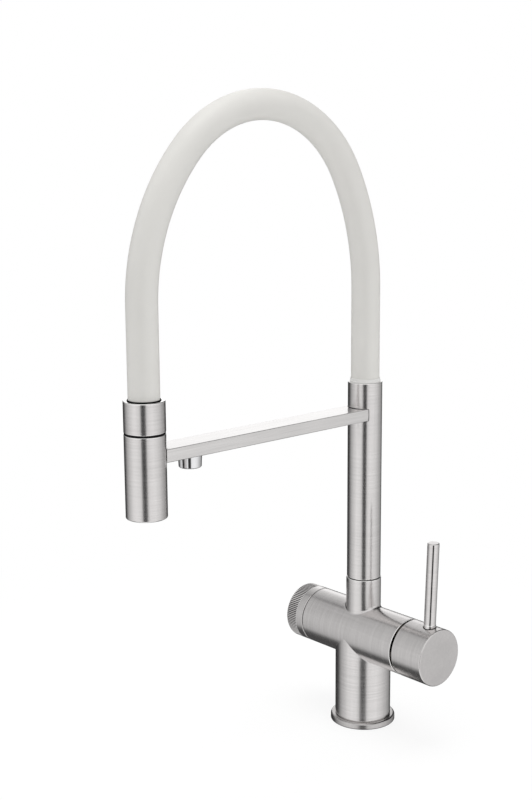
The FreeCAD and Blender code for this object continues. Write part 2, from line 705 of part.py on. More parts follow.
def valve_spindle():
    """Brass spindle: round in the valve, with a flat over the hub's grub screw."""
    tip = hub_seat_x + HUB_FLANGE_H + SEAT_FIT
    step_x = hub_end_x + SPINDLE_STEP
    inner_x = valve_floor_x - 2 * THREAD_FIT
    return single(cyl_x(SPINDLE_D, step_x, inner_x).fuse(spindle_bar(SPINDLE_D / 2, tip, step_x)))


def knob_screw():
    """Grub screw in the hub, pressing on the spindle's flat."""
    top = BARREL_Z - SPINDLE_D / 2 + SPINDLE_FLAT - 2 * SEAT_FIT
    low = top - KNOB_SCREW_LENGTH
    body = cyl_z(KNOB_SCREW_D - 2 * THREAD_FIT, low, top, knob_screw_x)
    socket_depth = KNOB_SCREW_LENGTH / 2
    socket = hexagon(KNOB_SCREW_HEX, vec(knob_screw_x, 0, low - OVERRUN), vec(0, 0, OVERRUN + socket_depth))
    return single(body.cut(socket))


def filter_valve():
    """Quarter-turn valve: threaded shank, hexagon and nose, bored for the spindle, two ports inside."""
    nose_end = valve_nose_x - VALVE_NOSE_LENGTH
    body = cyl_x(VALVE_D, valve_inner_x, valve_hex_x).fuse([
        hexagon(VALVE_HEX, vec(valve_hex_x, 0, BARREL_Z), vec(-VALVE_HEX_H, 0, 0)),
        cyl_x(VALVE_NOSE_D, valve_nose_x, nose_end)])
    port_end = valve_inner_x + OVERRUN
    cutters = [
        cyl_x(SPINDLE_D + 2 * RUNNING_FIT, nose_end - OVERRUN, valve_floor_x),
        cyl_x(FILTER_WAY_D, valve_floor_x - OVERRUN, port_end),
        cyl_x(FILTER_WAY_D, (valve_floor_x + valve_inner_x) / 2, port_end, 0, BARREL_Z - VALVE_INLET_DROP),
    ]
    return single(body.cut(cutters))


def filter_valve_seal():
    """Flat washer under the valve's hexagon."""
    return ring_x(VALVE_HEX, VALVE_D + 2 * SEAT_FIT, valve_shoulder_x, valve_hex_x)


# Swivel and column


def neck_ring():
    """Thin wear ring on the neck's rim, which shows as the dark line of the swivel."""
    return ring_z(COLUMN_D - 2 * EDGE_BREAK, neck_bore_d, neck_top, neck_top + WEAR_RING_H)


def seal_heights():
    """Heights of the spigot's two seals, one above and one below the neck screw."""
    lower = (spigot_bottom + neck_screw_z - O_RING_D) / 2
    upper = (neck_top + neck_screw_z + O_RING_D) / 2
    return lower, upper


def groove_z(diameter, depth, z, width, y=0.0):
    """Cutter for a groove round an upright shaft of the given diameter."""
    return ring_z(diameter + OVERRUN, diameter - 2 * depth, z - width / 2, z + width / 2, 0, y)


def column_spigot():
    """Brass plug in the column's foot, with a grooved shank that turns in the neck."""
    high = column_bottom + SPIGOT_PLUG_H
    shank = cyl_z(SPIGOT_D, spigot_bottom, column_bottom + OVERRUN)
    body = shank.fuse(cyl_z(column_bore_d - 2 * SEAT_FIT, column_bottom, high))
    cutters = [groove_z(SPIGOT_D, O_RING_D + SEAT_FIT, z, O_RING_GROOVE_W) for z in seal_heights()]
    screw_groove_w = NECK_SCREW_D + 2 * SCREW_TIP_CLEARANCE
    cutters.append(groove_z(SPIGOT_D, SCREW_GROOVE_DEPTH, neck_screw_z, screw_groove_w))
    cutters.append(cyl_z(SPIGOT_BORE_D, spigot_bottom - OVERRUN, high + OVERRUN))
    return single(body.cut(cutters))


def swivel_seals():
    """The spigot's two O-rings, one solid each."""
    centre_r = SPIGOT_D / 2 - o_ring_r
    return Part.makeCompound([o_ring_z(centre_r, z) for z in seal_heights()])


def neck_screw():
    """Grub screw in the back of the neck; its tip runs in the spigot's groove."""
    outer = NECK_D / 2 - EDGE_BREAK
    tip = SPIGOT_D / 2 - SCREW_GROOVE_DEPTH + SCREW_TIP_CLEARANCE
    body = cyl_y(NECK_SCREW_D - 2 * THREAD_FIT, tip, outer, 0, neck_screw_z)
    middle = (tip + outer) / 2
    socket = hexagon(NECK_SCREW_HEX, vec(0, middle, neck_screw_z), vec(0, outer - middle + OVERRUN, 0))
    return single(body.cut(socket))


def column_tube():
    """Turning column, pierced at the front where the riser enters the arm."""
    tube = ring_z(COLUMN_D, column_bore_d, column_bottom, column_top)
    for z in (column_bottom, column_top):
        tube = round_ring_edges(tube, EDGE_BREAK, COLUMN_D, z)
    return single(tube.cut(cyl_y(RISER_D + 2 * SEAT_FIT, -COLUMN_D, 0)))


def riser_bar(radius):
    """The riser's course as a solid bar: up the middle of the column, round an elbow and into the arm."""
    foot = riser_socket_z + SEAT_FIT
    top = arm_mid_z - RISER_BEND_R
    end_y = THREAD_FIT - COLUMN_D / 2 - ARM_SOCKET_LENGTH
    upright = cyl_z(2 * radius, foot, top)
    disc = Part.Face(Part.Wire(Part.makeCircle(radius, vec(0, 0, top), Z_AXIS)))
    elbow = disc.revolve(vec(0, -RISER_BEND_R, top), X_AXIS, 90)
    return upright.fuse([elbow, cyl_y(2 * radius, end_y, -RISER_BEND_R)])


def filter_riser():
    """Filtered water's own pipe, from the body to the arm."""
    return single(riser_bar(RISER_D / 2).cut(riser_bar(RISER_D / 2 - RISER_WALL)))


# Hose and its fittings


def hose_path(start_z, end_z):
    """Centre line of the arch: up, three tangent arcs over, and down to the head."""
    a1, a3 = math.radians(BEND_COLUMN_ANGLE), math.radians(BEND_HEAD_ANGLE)
    a12 = math.pi - a3
    side = BEND_COLUMN_R * (1 - math.cos(a1)) + BEND_HEAD_R * (1 + math.cos(a12))
    crown_r = (REACH - side) / (math.cos(a1) - math.cos(a12))
    out, up = 0.0, bend_start_z
    edges = [Part.LineSegment(vec(0, 0, start_z), vec(0, 0, up)).toShape()]
    for radius, t0, t1 in ((BEND_COLUMN_R, 0.0, a1), (crown_r, a1, a12), (BEND_HEAD_R, a12, math.pi)):
        places = []
        for t in (t0, (t0 + t1) / 2, t1):
            across = out + radius * (math.cos(t0) - math.cos(t))
            places.append(vec(0, -across, up + radius * (math.sin(t) - math.sin(t0))))
        edges.append(Part.Arc(*places).toShape())
        out, up = -places[2].y, places[2].z
    edges.append(Part.LineSegment(vec(0, -REACH, up), vec(0, -REACH, end_z)).toShape())
    return Part.Wire(edges)


def hose_tube(outer_d, inner_d, start_z, end_z):
    """A tube of constant bore swept along the arch."""
    path = hose_path(start_z, end_z)
    swept = []
    for diameter in (outer_d, inner_d):
        circle = Part.Wire(Part.makeCircle(diameter / 2, vec(0, 0, start_z), Z_AXIS))
        swept.append(path.makePipeShell([circle], True, False))
    return single(swept[0].cut(swept[1]))


def spout_hose():
    """Silicone hose that shows, from the column's rim to the collar."""
    return hose_tube(HOSE_D, hose_bore_d, hose_seat_z, tail_seat_z + SEAT_FIT)


def water_hose():
    """Inner hose that carries the mixed water."""
    return hose_tube(WATER_HOSE_D, water_bore_d, hose_seat_z, tail_seat_z + SEAT_FIT)


def barbed_tail(z0):
    """Profile of a hose tail with sloped barbs, as (radius, height) points from the foot up."""
    pitch = TAIL_LENGTH / (BARB_COUNT + 1)
    points = [(tail_r, z0)]
    for k in range(BARB_COUNT):
        low = z0 + pitch * (k + 1) - BARB_LENGTH / 2
        points += [(tail_r, low), (tail_r + BARB_HEIGHT, low), (tail_r, low + BARB_LENGTH)]
    return points + [(tail_r, z0 + TAIL_LENGTH), (tail_bore_d / 2, z0 + TAIL_LENGTH)]


def hose_nipple():
    """Plug in the column's top with the barbed tail that carries the water hose."""
    plug_r = column_bore_d / 2 - SEAT_FIT
    foot = hose_seat_z - NIPPLE_PLUG_H
    plug = [(tail_bore_d / 2, foot), (plug_r, foot), (plug_r, hose_seat_z)]
    return single(turned(plug + barbed_tail(hose_seat_z)))


def hose_ring():
    """Pale ring that closes the gap between hose and column and rises above the rim in two steps."""
    bore_r, seat_r = HOSE_D / 2 + SEAT_FIT, column_bore_d / 2 - SEAT_FIT
    lip_r = bore_r + HOSE_RING_LIP
    low, step, top = hose_seat_z + SEAT_FIT, column_top + HOSE_RING_STEP, column_top + HOSE_RING_PROUD
    return single(turned([(bore_r, low), (seat_r, low), (seat_r, step), (lip_r, step), (lip_r, top),
                          (bore_r, top)]))


def crimp_sleeve(seat_z, y=0.0):
    """Thin ring round the water hose's end, clear of the silicone hose outside it."""
    outer_d, inner_d = hose_bore_d - 2 * HOSE_FIT, WATER_HOSE_D + 2 * HOSE_FIT
    return ring_z(outer_d, inner_d, seat_z, seat_z + SLEEVE_LENGTH, 0, y)


def nipple_sleeve():
    return crimp_sleeve(hose_seat_z)


def tail_sleeve():
    return crimp_sleeve(tail_seat_z, -REACH)


def stem_seal_heights():
    """Heights of the two seals on the spray's stem."""
    first = stem_low_z + O_RING_GROOVE_W
    return first, first + STEM_SEAL_PITCH


def hose_tail():
    """Turned fitting in the collar: barbed tail above, flange, and the stem that the spray turns on."""
    stem_r = STEM_TUBE_D / 2
    flange_r = collar_nut_d / 2 - SEAT_FIT
    foot = [(tail_bore_d / 2, stem_low_z), (stem_r, stem_low_z), (stem_r, collar_bottom_z),
            (flange_r, collar_bottom_z), (flange_r, tail_seat_z)]
    body = turned(foot + barbed_tail(tail_seat_z), 0, -REACH)
    cutters = [groove_z(STEM_TUBE_D, O_RING_D + SEAT_FIT, z, O_RING_GROOVE_W, -REACH)
               for z in stem_seal_heights()]
    clip_groove_w = CLIP_H + 2 * STEM_CLEARANCE
    cutters.append(groove_z(STEM_TUBE_D, CLIP_GROOVE_DEPTH, clip_z + CLIP_H / 2, clip_groove_w, -REACH))
    return single(body.cut(cutters))


def stem_seals():
    """The stem's two O-rings, one solid each."""
    centre_r = STEM_TUBE_D / 2 - o_ring_r
    return Part.makeCompound([o_ring_z(centre_r, z, 0, -REACH) for z in stem_seal_heights()])


# Dock arm and filter outlet


def dock_arm():
    """Flat bar from the column to the head, coped to both, with the filtered water's channel inside."""
    half = ARM_W / 2
    bar = box(-half, half, -REACH, 0, arm_bottom_z, arm_top_z)
    long_edges = [e for e in bar.Edges if abs(e.Length - REACH) < NEARNESS]
    bar = bar.makeFillet(ARM_EDGE_R, long_edges)
    low, high = arm_bottom_z - OVERRUN, arm_top_z + OVERRUN
    cutters = [
        cyl_z(COLUMN_D, low, high),
        cyl_z(HEAD_D + 2 * DOCK_GAP, low, high, 0, -REACH),
        cyl_y(ARM_CHANNEL_D, outlet_y - ARM_CHANNEL_D / 2, 0),
        cyl_y(RISER_D + 2 * SEAT_FIT, -COLUMN_D / 2 - ARM_SOCKET_LENGTH, 0),
        cyl_z(OUTLET_STUB_D + 2 * THREAD_FIT, low, arm_mid_z, 0, outlet_y),
        cyl_y(MAGNET_D + 2 * SEAT_FIT, -REACH, magnet_face_y() + MAGNET_LENGTH),
    ]
    return single(bar.cut(cutters))


def magnet_face_y():
    return HEAD_D / 2 + DOCK_GAP + MAGNET_RECESS - REACH


def dock_magnet():
    """Round magnet in the arm's end that holds the spray."""
    return cyl_y(MAGNET_D, magnet_face_y(), magnet_face_y() + MAGNET_LENGTH)


def filter_outlet():
    """Small tapered nozzle under the arm, screwed in by its stub."""
    stub_r, bore_r, throat_r = OUTLET_STUB_D / 2, OUTLET_BORE_D / 2, ARM_CHANNEL_D / 2
    mouth_r = OUTLET_D / 2 - OUTLET_TAPER
    stub_z = arm_bottom_z + OUTLET_STUB_H
    profile = [
        (throat_r, stub_z), (stub_r, stub_z), (stub_r, arm_bottom_z), (OUTLET_D / 2, arm_bottom_z),
        (mouth_r, outlet_low_z + OUTLET_CHAMFER), (mouth_r - OUTLET_CHAMFER, outlet_low_z),
        (bore_r, outlet_low_z), (bore_r, arm_bottom_z - OUTLET_THROAT_H), (throat_r, arm_bottom_z)]
    return single(turned(profile, 0, outlet_y))


def outlet_screen():
    """Perforated disc that straightens the filtered stream."""
    low = outlet_low_z + OUTLET_CHAMFER
    high = low + SCREEN_H
    disc = cyl_z(OUTLET_BORE_D - 2 * SEAT_FIT, low, high, 0, outlet_y)
    holes = [cyl_z(SCREEN_HOLE_D, low - OVERRUN, high + OVERRUN, x, y)
             for count, radius in zip(SCREEN_COUNTS, SCREEN_CIRCLE_RS)
             for x, y in ring_places(count, radius, 0, outlet_y)]
    return single(disc.cut(holes))


# Spray head


def head_collar():
    """Sleeve that hides the hose's end; the hose enters inside its rounded rim."""
    nut_top = tail_seat_z + SEAT_FIT
    body = cyl_z(HEAD_D, collar_bottom_z, collar_top_z, 0, -REACH)
    for z in (collar_bottom_z, collar_top_z):
        body = round_ring_edges(body, COLLAR_EDGE_R, HEAD_D, z, 0, -REACH)
    mouth = cyl_z(HOSE_D + 2 * COLLAR_CLEARANCE, collar_bottom_z, collar_top_z + OVERRUN, 0, -REACH)
    nut_bore = cyl_z(collar_nut_d, collar_bottom_z - OVERRUN, nut_top, 0, -REACH)
    return single(body.cut([mouth, nut_bore]))


def shell_seal():
    """Black ring in the groove between collar and spray shell."""
    outer_d, inner_d = HEAD_D - 2 * SHELL_SEAL_RECESS, STEM_TUBE_D + 2 * SEAT_FIT
    return ring_z(outer_d, inner_d, collar_bottom_z - SHELL_SEAL_H, collar_bottom_z, 0, -REACH)


def spray_shell():
    """Outer shell of the spray, closed above except for the stem's hole, with softened rims."""
    body = cyl_z(HEAD_D, shell_low_z, shell_top_z, 0, -REACH)
    body = round_ring_edges(body, COLLAR_EDGE_R, HEAD_D, shell_top_z, 0, -REACH)
    body = round_ring_edges(body, SHELL_EDGE_R, HEAD_D, shell_low_z, 0, -REACH)
    bore = cyl_z(shell_bore_d, shell_low_z - OVERRUN, shell_top_z - SHELL_TOP_H, 0, -REACH)
    stem_hole = cyl_z(STEM_TUBE_D + 2 * STEM_CLEARANCE, shell_low_z, shell_top_z + OVERRUN, 0, -REACH)
    return single(body.cut([bore, stem_hole]))


def spray_core():
    """Plastic core: bore for the stem, a mixing chamber and the ways down to jets and nozzles."""
    chamber_top = stem_low_z - THREAD_FIT
    above, below = core_top_z + OVERRUN, core_low_z - OVERRUN
    pocket_d = dock_ring_bore_d - 2 * SEAT_FIT
    cutters = [
        cyl_z(STEM_TUBE_D + 2 * RUNNING_FIT, chamber_top, above, 0, -REACH),
        cyl_z(pocket_d - 2 * CORE_CHAMBER_WALL, chamber_top - CORE_CHAMBER_H, chamber_top, 0, -REACH),
        cyl_z(CORE_WAY_D, below, chamber_top, 0, -REACH),
        ring_z(core_d + OVERRUN, pocket_d, dock_ring_z - SEAT_FIT, dock_ring_z + DOCK_RING_H + SEAT_FIT,
               0, -REACH),
        cyl_z(CLIP_D + 2 * SEAT_FIT, clip_z - SEAT_FIT, above, 0, -REACH),
    ]
    cutters += [cyl_z(CORE_JET_D, below, chamber_top - OVERRUN, x, y)
                for x, y in ring_places(CORE_JETS, CORE_JET_CIRCLE_D / 2, 0, -REACH)]
    return single(cyl_z(core_d, core_low_z, core_top_z, 0, -REACH).cut(cutters))


def stem_clip():
    """Split ring that keeps the spray on the stem and lets it turn."""
    inner_d = STEM_TUBE_D - 2 * (CLIP_GROOVE_DEPTH - STEM_CLEARANCE)
    ring = ring_z(CLIP_D, inner_d, clip_z, clip_z + CLIP_H, 0, -REACH)
    split = box(-CLIP_SPLIT / 2, CLIP_SPLIT / 2, -REACH, CLIP_D - REACH, clip_z - OVERRUN, core_top_z)
    return single(ring.cut(split))


def dock_ring():
    """Steel ring inside the shell, pulled by the arm's magnet."""
    return ring_z(core_d, dock_ring_bore_d, dock_ring_z, dock_ring_z + DOCK_RING_H, 0, -REACH)


def nozzle_places():
    """Places of the outer and inner rings of nozzles."""
    return [place for count, radius in zip(NOZZLE_COUNTS, NOZZLE_CIRCLE_RS)
            for place in ring_places(count, radius, 0, -REACH)]


def spray_plate():
    """Perforated face plate round the aerator."""
    disc = ring_z(core_d, AERATOR_D + 2 * SEAT_FIT, plate_low_z, plate_top_z, 0, -REACH)
    low, high = plate_low_z - OVERRUN, plate_top_z + OVERRUN
    holes = [cyl_z(NOZZLE_ROOT_D + 2 * SEAT_FIT, low, high, x, y) for x, y in nozzle_places()]
    return single(disc.cut(holes))


def nozzle_mat():
    """Soft mat whose nozzles stand through the plate."""
    mat = ring_z(core_d, AERATOR_D + 2 * SEAT_FIT, plate_top_z, core_low_z, 0, -REACH)
    tip = plate_low_z - NOZZLE_PROUD
    length = plate_top_z + OVERRUN - tip
    nozzles = [Part.makeCone(NOZZLE_TIP_D / 2, NOZZLE_ROOT_D / 2, length, vec(x, y, tip), Z_AXIS)
               for x, y in nozzle_places()]
    return single(mat.fuse(nozzles))


def aerator():
    """Ring with a grid across it, in the middle of the plate."""
    low = plate_low_z - NOZZLE_PROUD / 2
    high = low + AERATOR_GRID_H
    inner_d = AERATOR_D - 2 * AERATOR_WALL
    ring = ring_z(AERATOR_D, inner_d, low, core_low_z, 0, -REACH)
    reach, half = inner_d / 2, AERATOR_BAR_W / 2
    bars = []
    for k in range(AERATOR_BARS):
        at = inner_d * ((k + 0.5) / AERATOR_BARS - 0.5)
        bars.append(box(at - half, at + half, -REACH - reach, reach - REACH, low, high))
        bars.append(box(-reach, reach, at - half - REACH, at + half - REACH, low, high))
    grid = bars[0].fuse(bars[1:]).common(cyl_z(AERATOR_D - AERATOR_WALL, low, high, 0, -REACH))
    return single(ring.fuse(grid))


PIECES = (
    base_flange, base_seal, mixer_body, riser_seal, mixer_cartridge, cartridge_seals, cartridge_nut,
    cartridge_turret, pivot_pin, lever_stem, lever_cap, lever_rod, stem_grub_screw, filter_knob, knob_hub,
    valve_spindle, knob_screw, filter_valve, filter_valve_seal, neck_ring, column_spigot, swivel_seals,
    neck_screw, column_tube, filter_riser, spout_hose, water_hose, hose_nipple, hose_ring, nipple_sleeve,
    tail_sleeve, hose_tail, stem_seals, dock_arm, dock_magnet, filter_outlet, outlet_screen, head_collar,
    shell_seal, spray_shell, spray_core, stem_clip, dock_ring, spray_plate, nozzle_mat, aerator,
)


def main():
    os.makedirs("parts", exist_ok=True)
    for make in PIECES:
        shape = make()
        if not shape.isValid():
            raise ValueError("invalid solid: " + make.__name__)
        shape.exportStep(os.path.join("parts", make.__name__ + ".step"))
        bounds = shape.BoundBox
        spans = (bounds.XMin, bounds.XMax, bounds.YMin, bounds.YMax, bounds.ZMin, bounds.ZMax)
        print("%-18s %d solid(s) %9.1f mm3" % (make.__name__, len(shape.Solids), shape.Volume), end="")
        print("  x %.1f..%.1f y %.1f..%.1f z %.1f..%.1f" % spans)
    print("hose length %.1f mm" % hose_path(hose_seat_z, tail_seat_z).Length)


main()
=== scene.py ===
"""Looks of a three-way kitchen mixer tap: brushed steel body and column, silicone hose, dock arm.

The classes hold millimetres and the meshes get metres. The frame is the tap's own: the origin is
under the middle of the flange, +Z is up, +X runs along the barrel to the lever, and the spray head
hangs toward -Y.
"""

import logging
import math
from collections.abc import Callable, Sequence
from dataclasses import dataclass, field
from enum import Enum, IntEnum
from functools import cache

import bmesh
import bpy
import numpy as np
from mathutils import Matrix, Vector
from numpy.typing import NDArray


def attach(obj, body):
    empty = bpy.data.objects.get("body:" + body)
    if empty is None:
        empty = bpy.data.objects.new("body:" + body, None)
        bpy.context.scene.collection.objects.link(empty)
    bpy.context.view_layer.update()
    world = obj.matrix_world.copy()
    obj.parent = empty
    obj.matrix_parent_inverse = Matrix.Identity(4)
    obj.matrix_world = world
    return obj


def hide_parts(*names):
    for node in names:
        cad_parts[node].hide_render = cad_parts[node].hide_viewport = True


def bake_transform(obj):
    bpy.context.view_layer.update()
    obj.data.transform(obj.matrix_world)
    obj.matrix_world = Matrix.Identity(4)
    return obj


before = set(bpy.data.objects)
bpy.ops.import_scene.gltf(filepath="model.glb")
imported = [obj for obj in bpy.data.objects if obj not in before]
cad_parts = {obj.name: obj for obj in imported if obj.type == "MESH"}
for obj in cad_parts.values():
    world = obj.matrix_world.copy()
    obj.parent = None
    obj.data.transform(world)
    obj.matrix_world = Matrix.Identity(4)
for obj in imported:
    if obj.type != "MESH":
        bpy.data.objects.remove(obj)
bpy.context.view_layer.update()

Array = NDArray[np.float64]
Triple = tuple[float, float, float]
Colour = tuple[float, float, float, float]
Span = tuple[float, float]
Stops = tuple[tuple[float, float], ...]
MM = 0.001
TURN = 2 * math.pi
HARD_EDGE = math.radians(32)
log = logging.getLogger("tap")


class Axis(Enum):
    """Direction of a piece's long axis."""

    X = 0
    Y = 1
    Z = 2


class Brushing(Enum):
    """Which way the scratches run: round the piece's axis, or along it."""

    ROUND = "round"
    ALONG = "along"


class Ends(Enum):
    """How a grid of points closes along its rows: in a pole at each end, or onto itself."""

    POLES = "poles"
    JOINED = "joined"


class Round(IntEnum):
    """Columns round a turned surface: more for a wider one."""

    NOZZLE = 16
    HOLE = 48
    DOME = 64
    ROD = 96
    SMALL = 128
    RING = 160
    TUBE = 192
    BARREL = 256


class Slot(Enum):
    """The record's material slots."""

    BRUSHED = "brushed_steel"
    CHROME = "polished_chrome"
    BRASS = "brass"
    PLAIN = "plain_steel"
    SEAL = "black_rubber"
    HOSE = "pale_silicone"
    INNER = "inner_hose"
    PLASTIC = "grey_plastic"
    NOZZLE = "nozzle_silicone"


# Shapes


def rounded(corners: Sequence[Triple], steps: int = 6, guard: float = 0.12) -> Array:
    """Rounds the corners of a profile.

    A corner with a radius becomes the arc that touches both its sides: it begins
    radius / tan(half the corner's angle) before the corner, and its centre lies on the bisector at
    radius / sin(half the angle). The arc is a slerp from its start to its end about the centre. A
    guard point just outside each end of the arc keeps the flat sides flat in the shading.

    Args:
        corners: (out, along, radius) of each corner, in order round the profile.
        steps: spans in each arc.
        guard: distance of the guard points from the arc, in millimetres.

    Returns:
        The profile's points, one (out, along) per row.
    """
    table = np.array(corners, float)
    places, radii = table[:, :2], table[:, 2]
    parts = []
    for here, radius, before, after in zip(
            places, radii, np.roll(places, 1, 0), np.roll(places, -1, 0)):
        if radius == 0:
            parts.append(here[None])
            continue
        back, on = before - here, after - here
        back_length, on_length = np.linalg.norm(back), np.linalg.norm(on)
        back, on = back / back_length, on / on_length
        half = math.acos(float(np.clip(back @ on, -1, 1))) / 2
        cut = radius / math.tan(half)
        bisector = (back + on) / np.linalg.norm(back + on)
        centre = here + bisector * radius / math.sin(half)
        start, end = here + back * cut, here + on * cut
        sweep = math.pi - 2 * half
        t = np.linspace(0, 1, steps + 1)[:, None]
        from_start, from_end = np.sin((1 - t) * sweep), np.sin(t * sweep)
        arc = centre + (from_start * (start - centre) + from_end * (end - centre)) / math.sin(sweep)
        lead = min(guard, (back_length / 2 - cut) / 2)
        tail = min(guard, (on_length / 2 - cut) / 2)
        if lead > 0:
            parts.append((start + back * lead)[None])
        parts.append(arc)
        if tail > 0:
            parts.append((end + on * tail)[None])
    return np.vstack(parts)


def turned(profile: Array, axis: Axis, centre: Triple, around: int = 144) -> Array:
    """Turns a profile round an axis: radius out, length along, angle t in equal steps.

    Args:
        profile: (out, along) rows, along measured from the frame's origin.
        axis: the axis that it turns about.
        centre: a point on that axis; its component along the axis isn't used.
        around: number of columns.

    Returns:
        Points in a grid (rows of the profile, columns round the axis, xyz).
    """
    t = TURN * np.arange(around) / around
    out, along = profile[:, :1], profile[:, 1:]
    across, rise = out * np.cos(t), out * np.sin(t)
    along = along + 0 * t
    cx, cy, cz = centre
    if axis is Axis.X:
        return np.stack([along, cy + across, cz + rise], -1)
    if axis is Axis.Y:
        return np.stack([cx + rise, along, cz + across], -1)
    return np.stack([cx + across, cy + rise, along], -1)


def placed(name: str, data: bpy.types.ID) -> bpy.types.Object:
    """Puts data into the scene.

    Args:
        name: the object's name.
        data: its mesh, lamp or camera.

    Returns:
        The new object, at the origin.
    """
    made = bpy.data.objects.new(name, data)
    bpy.context.scene.collection.objects.link(made)
    return made


def smoothed(data: bpy.types.Mesh) -> bpy.types.Mesh:
    """Shades a mesh smooth apart from its hard edges.

    Args:
        data: the mesh.

    Returns:
        The same mesh.
    """
    data.shade_smooth()
    data.set_sharp_from_angle(angle=HARD_EDGE)
    return data


class Shells:
    """Closed surfaces that are gathered into one piece."""

    def __init__(self) -> None:
        """Starts with no surface."""
        self.points: list[Array] = []
        self.faces: list[list[int]] = []
        self.count = 0

    def add(self, grid: Array, ends: Ends) -> "Shells":
        """Adds one closed surface: each cell of the grid is a quad, and a pole's cells triangles.

        Args:
            grid: points (rows, columns, xyz) in millimetres; the columns close onto themselves.
            ends: how the rows close; for poles, the first and last row are each one point.

        Returns:
            This gathering, so that calls can follow each other.
        """
        rows, columns = grid.shape[:2]
        if ends is Ends.JOINED:
            index = np.arange(rows * columns).reshape(rows, columns) + self.count
            below = np.roll(index, -1, 0)
            points = grid.reshape(-1, 3)
        else:
            inner = grid[1:-1]
            index = np.arange(inner.shape[0] * columns).reshape(-1, columns) + self.count
            first, last = index.size + self.count, index.size + self.count + 1
            points = np.vstack([inner.reshape(-1, 3), grid[0].mean(0), grid[-1].mean(0)])
            for pole, ring in ((first, index[0]), (last, index[-1])):
                fan = np.stack([ring, np.roll(ring, -1), np.full(columns, pole)], -1)
                self.faces += fan.tolist()
            index, below = index[:-1], index[1:]
        beside, across = np.roll(index, -1, 1), np.roll(below, -1, 1)
        self.faces += np.stack([index, beside, across, below], -1).reshape(-1, 4).tolist()
        self.points.append(points)
        self.count += len(points)
        return self

    def lathe(self, corners: Sequence[Triple], axis: Axis = Axis.Z, centre: Triple = (0, 0, 0),
              around: int = 144, steps: int = 6) -> "Shells":
        """Adds a turned surface; it closes in poles if its profile starts on the axis."""
        ends = Ends.POLES if corners[0][0] == 0 else Ends.JOINED
        return self.add(turned(rounded(corners, steps), axis, centre, around), ends)

    def pin(self, radius: float, start: float, end: float, axis: Axis = Axis.Z,
            centre: Triple = (0, 0, 0)) -> "Shells":
        """Adds a plain pin between two places on an axis, such as a drill leaves as a hole."""
        corners = [(0, start, 0), (radius, start, 0), (radius, end, 0), (0, end, 0)]
        return self.lathe(corners, axis, centre, Round.HOLE)

    def bent(self, change: Callable[[Array], Array]) -> "Shells":
        """Moves every point that is gathered so far by a function of the whole array."""
        self.points = [change(block) for block in self.points]
        return self

    def mesh(self, name: str) -> bpy.types.Object:
        """Makes the object, with its faces turned outward and its hard edges kept hard.

        Args:
            name: the object's name.

        Returns:
            The new object, at the origin.
        """
        data = bpy.data.meshes.new(name)
        data.from_pydata(np.vstack(self.points) * MM, [], self.faces)
        work = bmesh.new()
        work.from_mesh(data)
        bmesh.ops.recalc_face_normals(work, faces=work.faces)
        work.to_mesh(data)
        work.free()
        return placed(name, smoothed(data))


def carve(solid: bpy.types.Object, cutters: Shells) -> bpy.types.Object:
    """Cuts closed shapes out of a piece and keeps the result as its mesh.

    Args:
        solid: the piece.
        cutters: what is cut away.

    Returns:
        The piece.
    """
    tool = cutters.mesh(solid.name + "_cutter")
    cut = solid.modifiers.new("carve", "BOOLEAN")
    cut.operation, cut.solver, cut.object = "DIFFERENCE", "EXACT", tool
    carved = solid.evaluated_get(bpy.context.evaluated_depsgraph_get())
    result = bpy.data.meshes.new_from_object(carved)
    solid.modifiers.clear()
    solid.data = result
    result.name = solid.name
    bpy.data.objects.remove(tool)
    smoothed(result)
    return solid


# Finishes


class Value:
    """A number in a node tree, on which Python's operators add Math nodes."""

    def __init__(self, look: "Look", socket: bpy.types.NodeSocket) -> None:
        """Wraps one output socket of the look's tree."""
        self.look, self.socket = look, socket

    def math(self, operation: str, *others: object) -> "Value":
        """This value and the others through one Math node."""
        return self.look.maths(operation, self, *others)

    def __add__(self, other: object) -> "Value":
        """This plus other."""
        return self.math("ADD", other)

    __radd__ = __add__

    def __mul__(self, other: object) -> "Value":
        """This times other."""
        return self.math("MULTIPLY", other)

    __rmul__ = __mul__

    def __sub__(self, other: object) -> "Value":
        """This minus other."""
        return self.math("SUBTRACT", other)

    def __rsub__(self, other: object) -> "Value":
        """Other minus this."""
        return self.look.maths("SUBTRACT", other, self)

    def __truediv__(self, other: object) -> "Value":
        """This divided by other."""
        return self.math("DIVIDE", other)


@dataclass(frozen=True)
class Grain:
    """A layer of noise in a finish.

    Its cells per metre are one number on a piece's axis and another across it; detail is the
    number of finer layers in it, and rough how strong they are.
    """

    on_axis: float
    off_axis: float
    detail: float = 2.0
    rough: float = 0.5

    def turned_over(self) -> "Grain":
        """The same layer with its two scales changed over."""
        return Grain(self.off_axis, self.on_axis, self.detail, self.rough)

    def scale(self, axis: Axis) -> Triple:
        """Cells per metre on X, Y and Z for a piece's axis."""
        return tuple(self.on_axis if other is axis else self.off_axis for other in Axis)


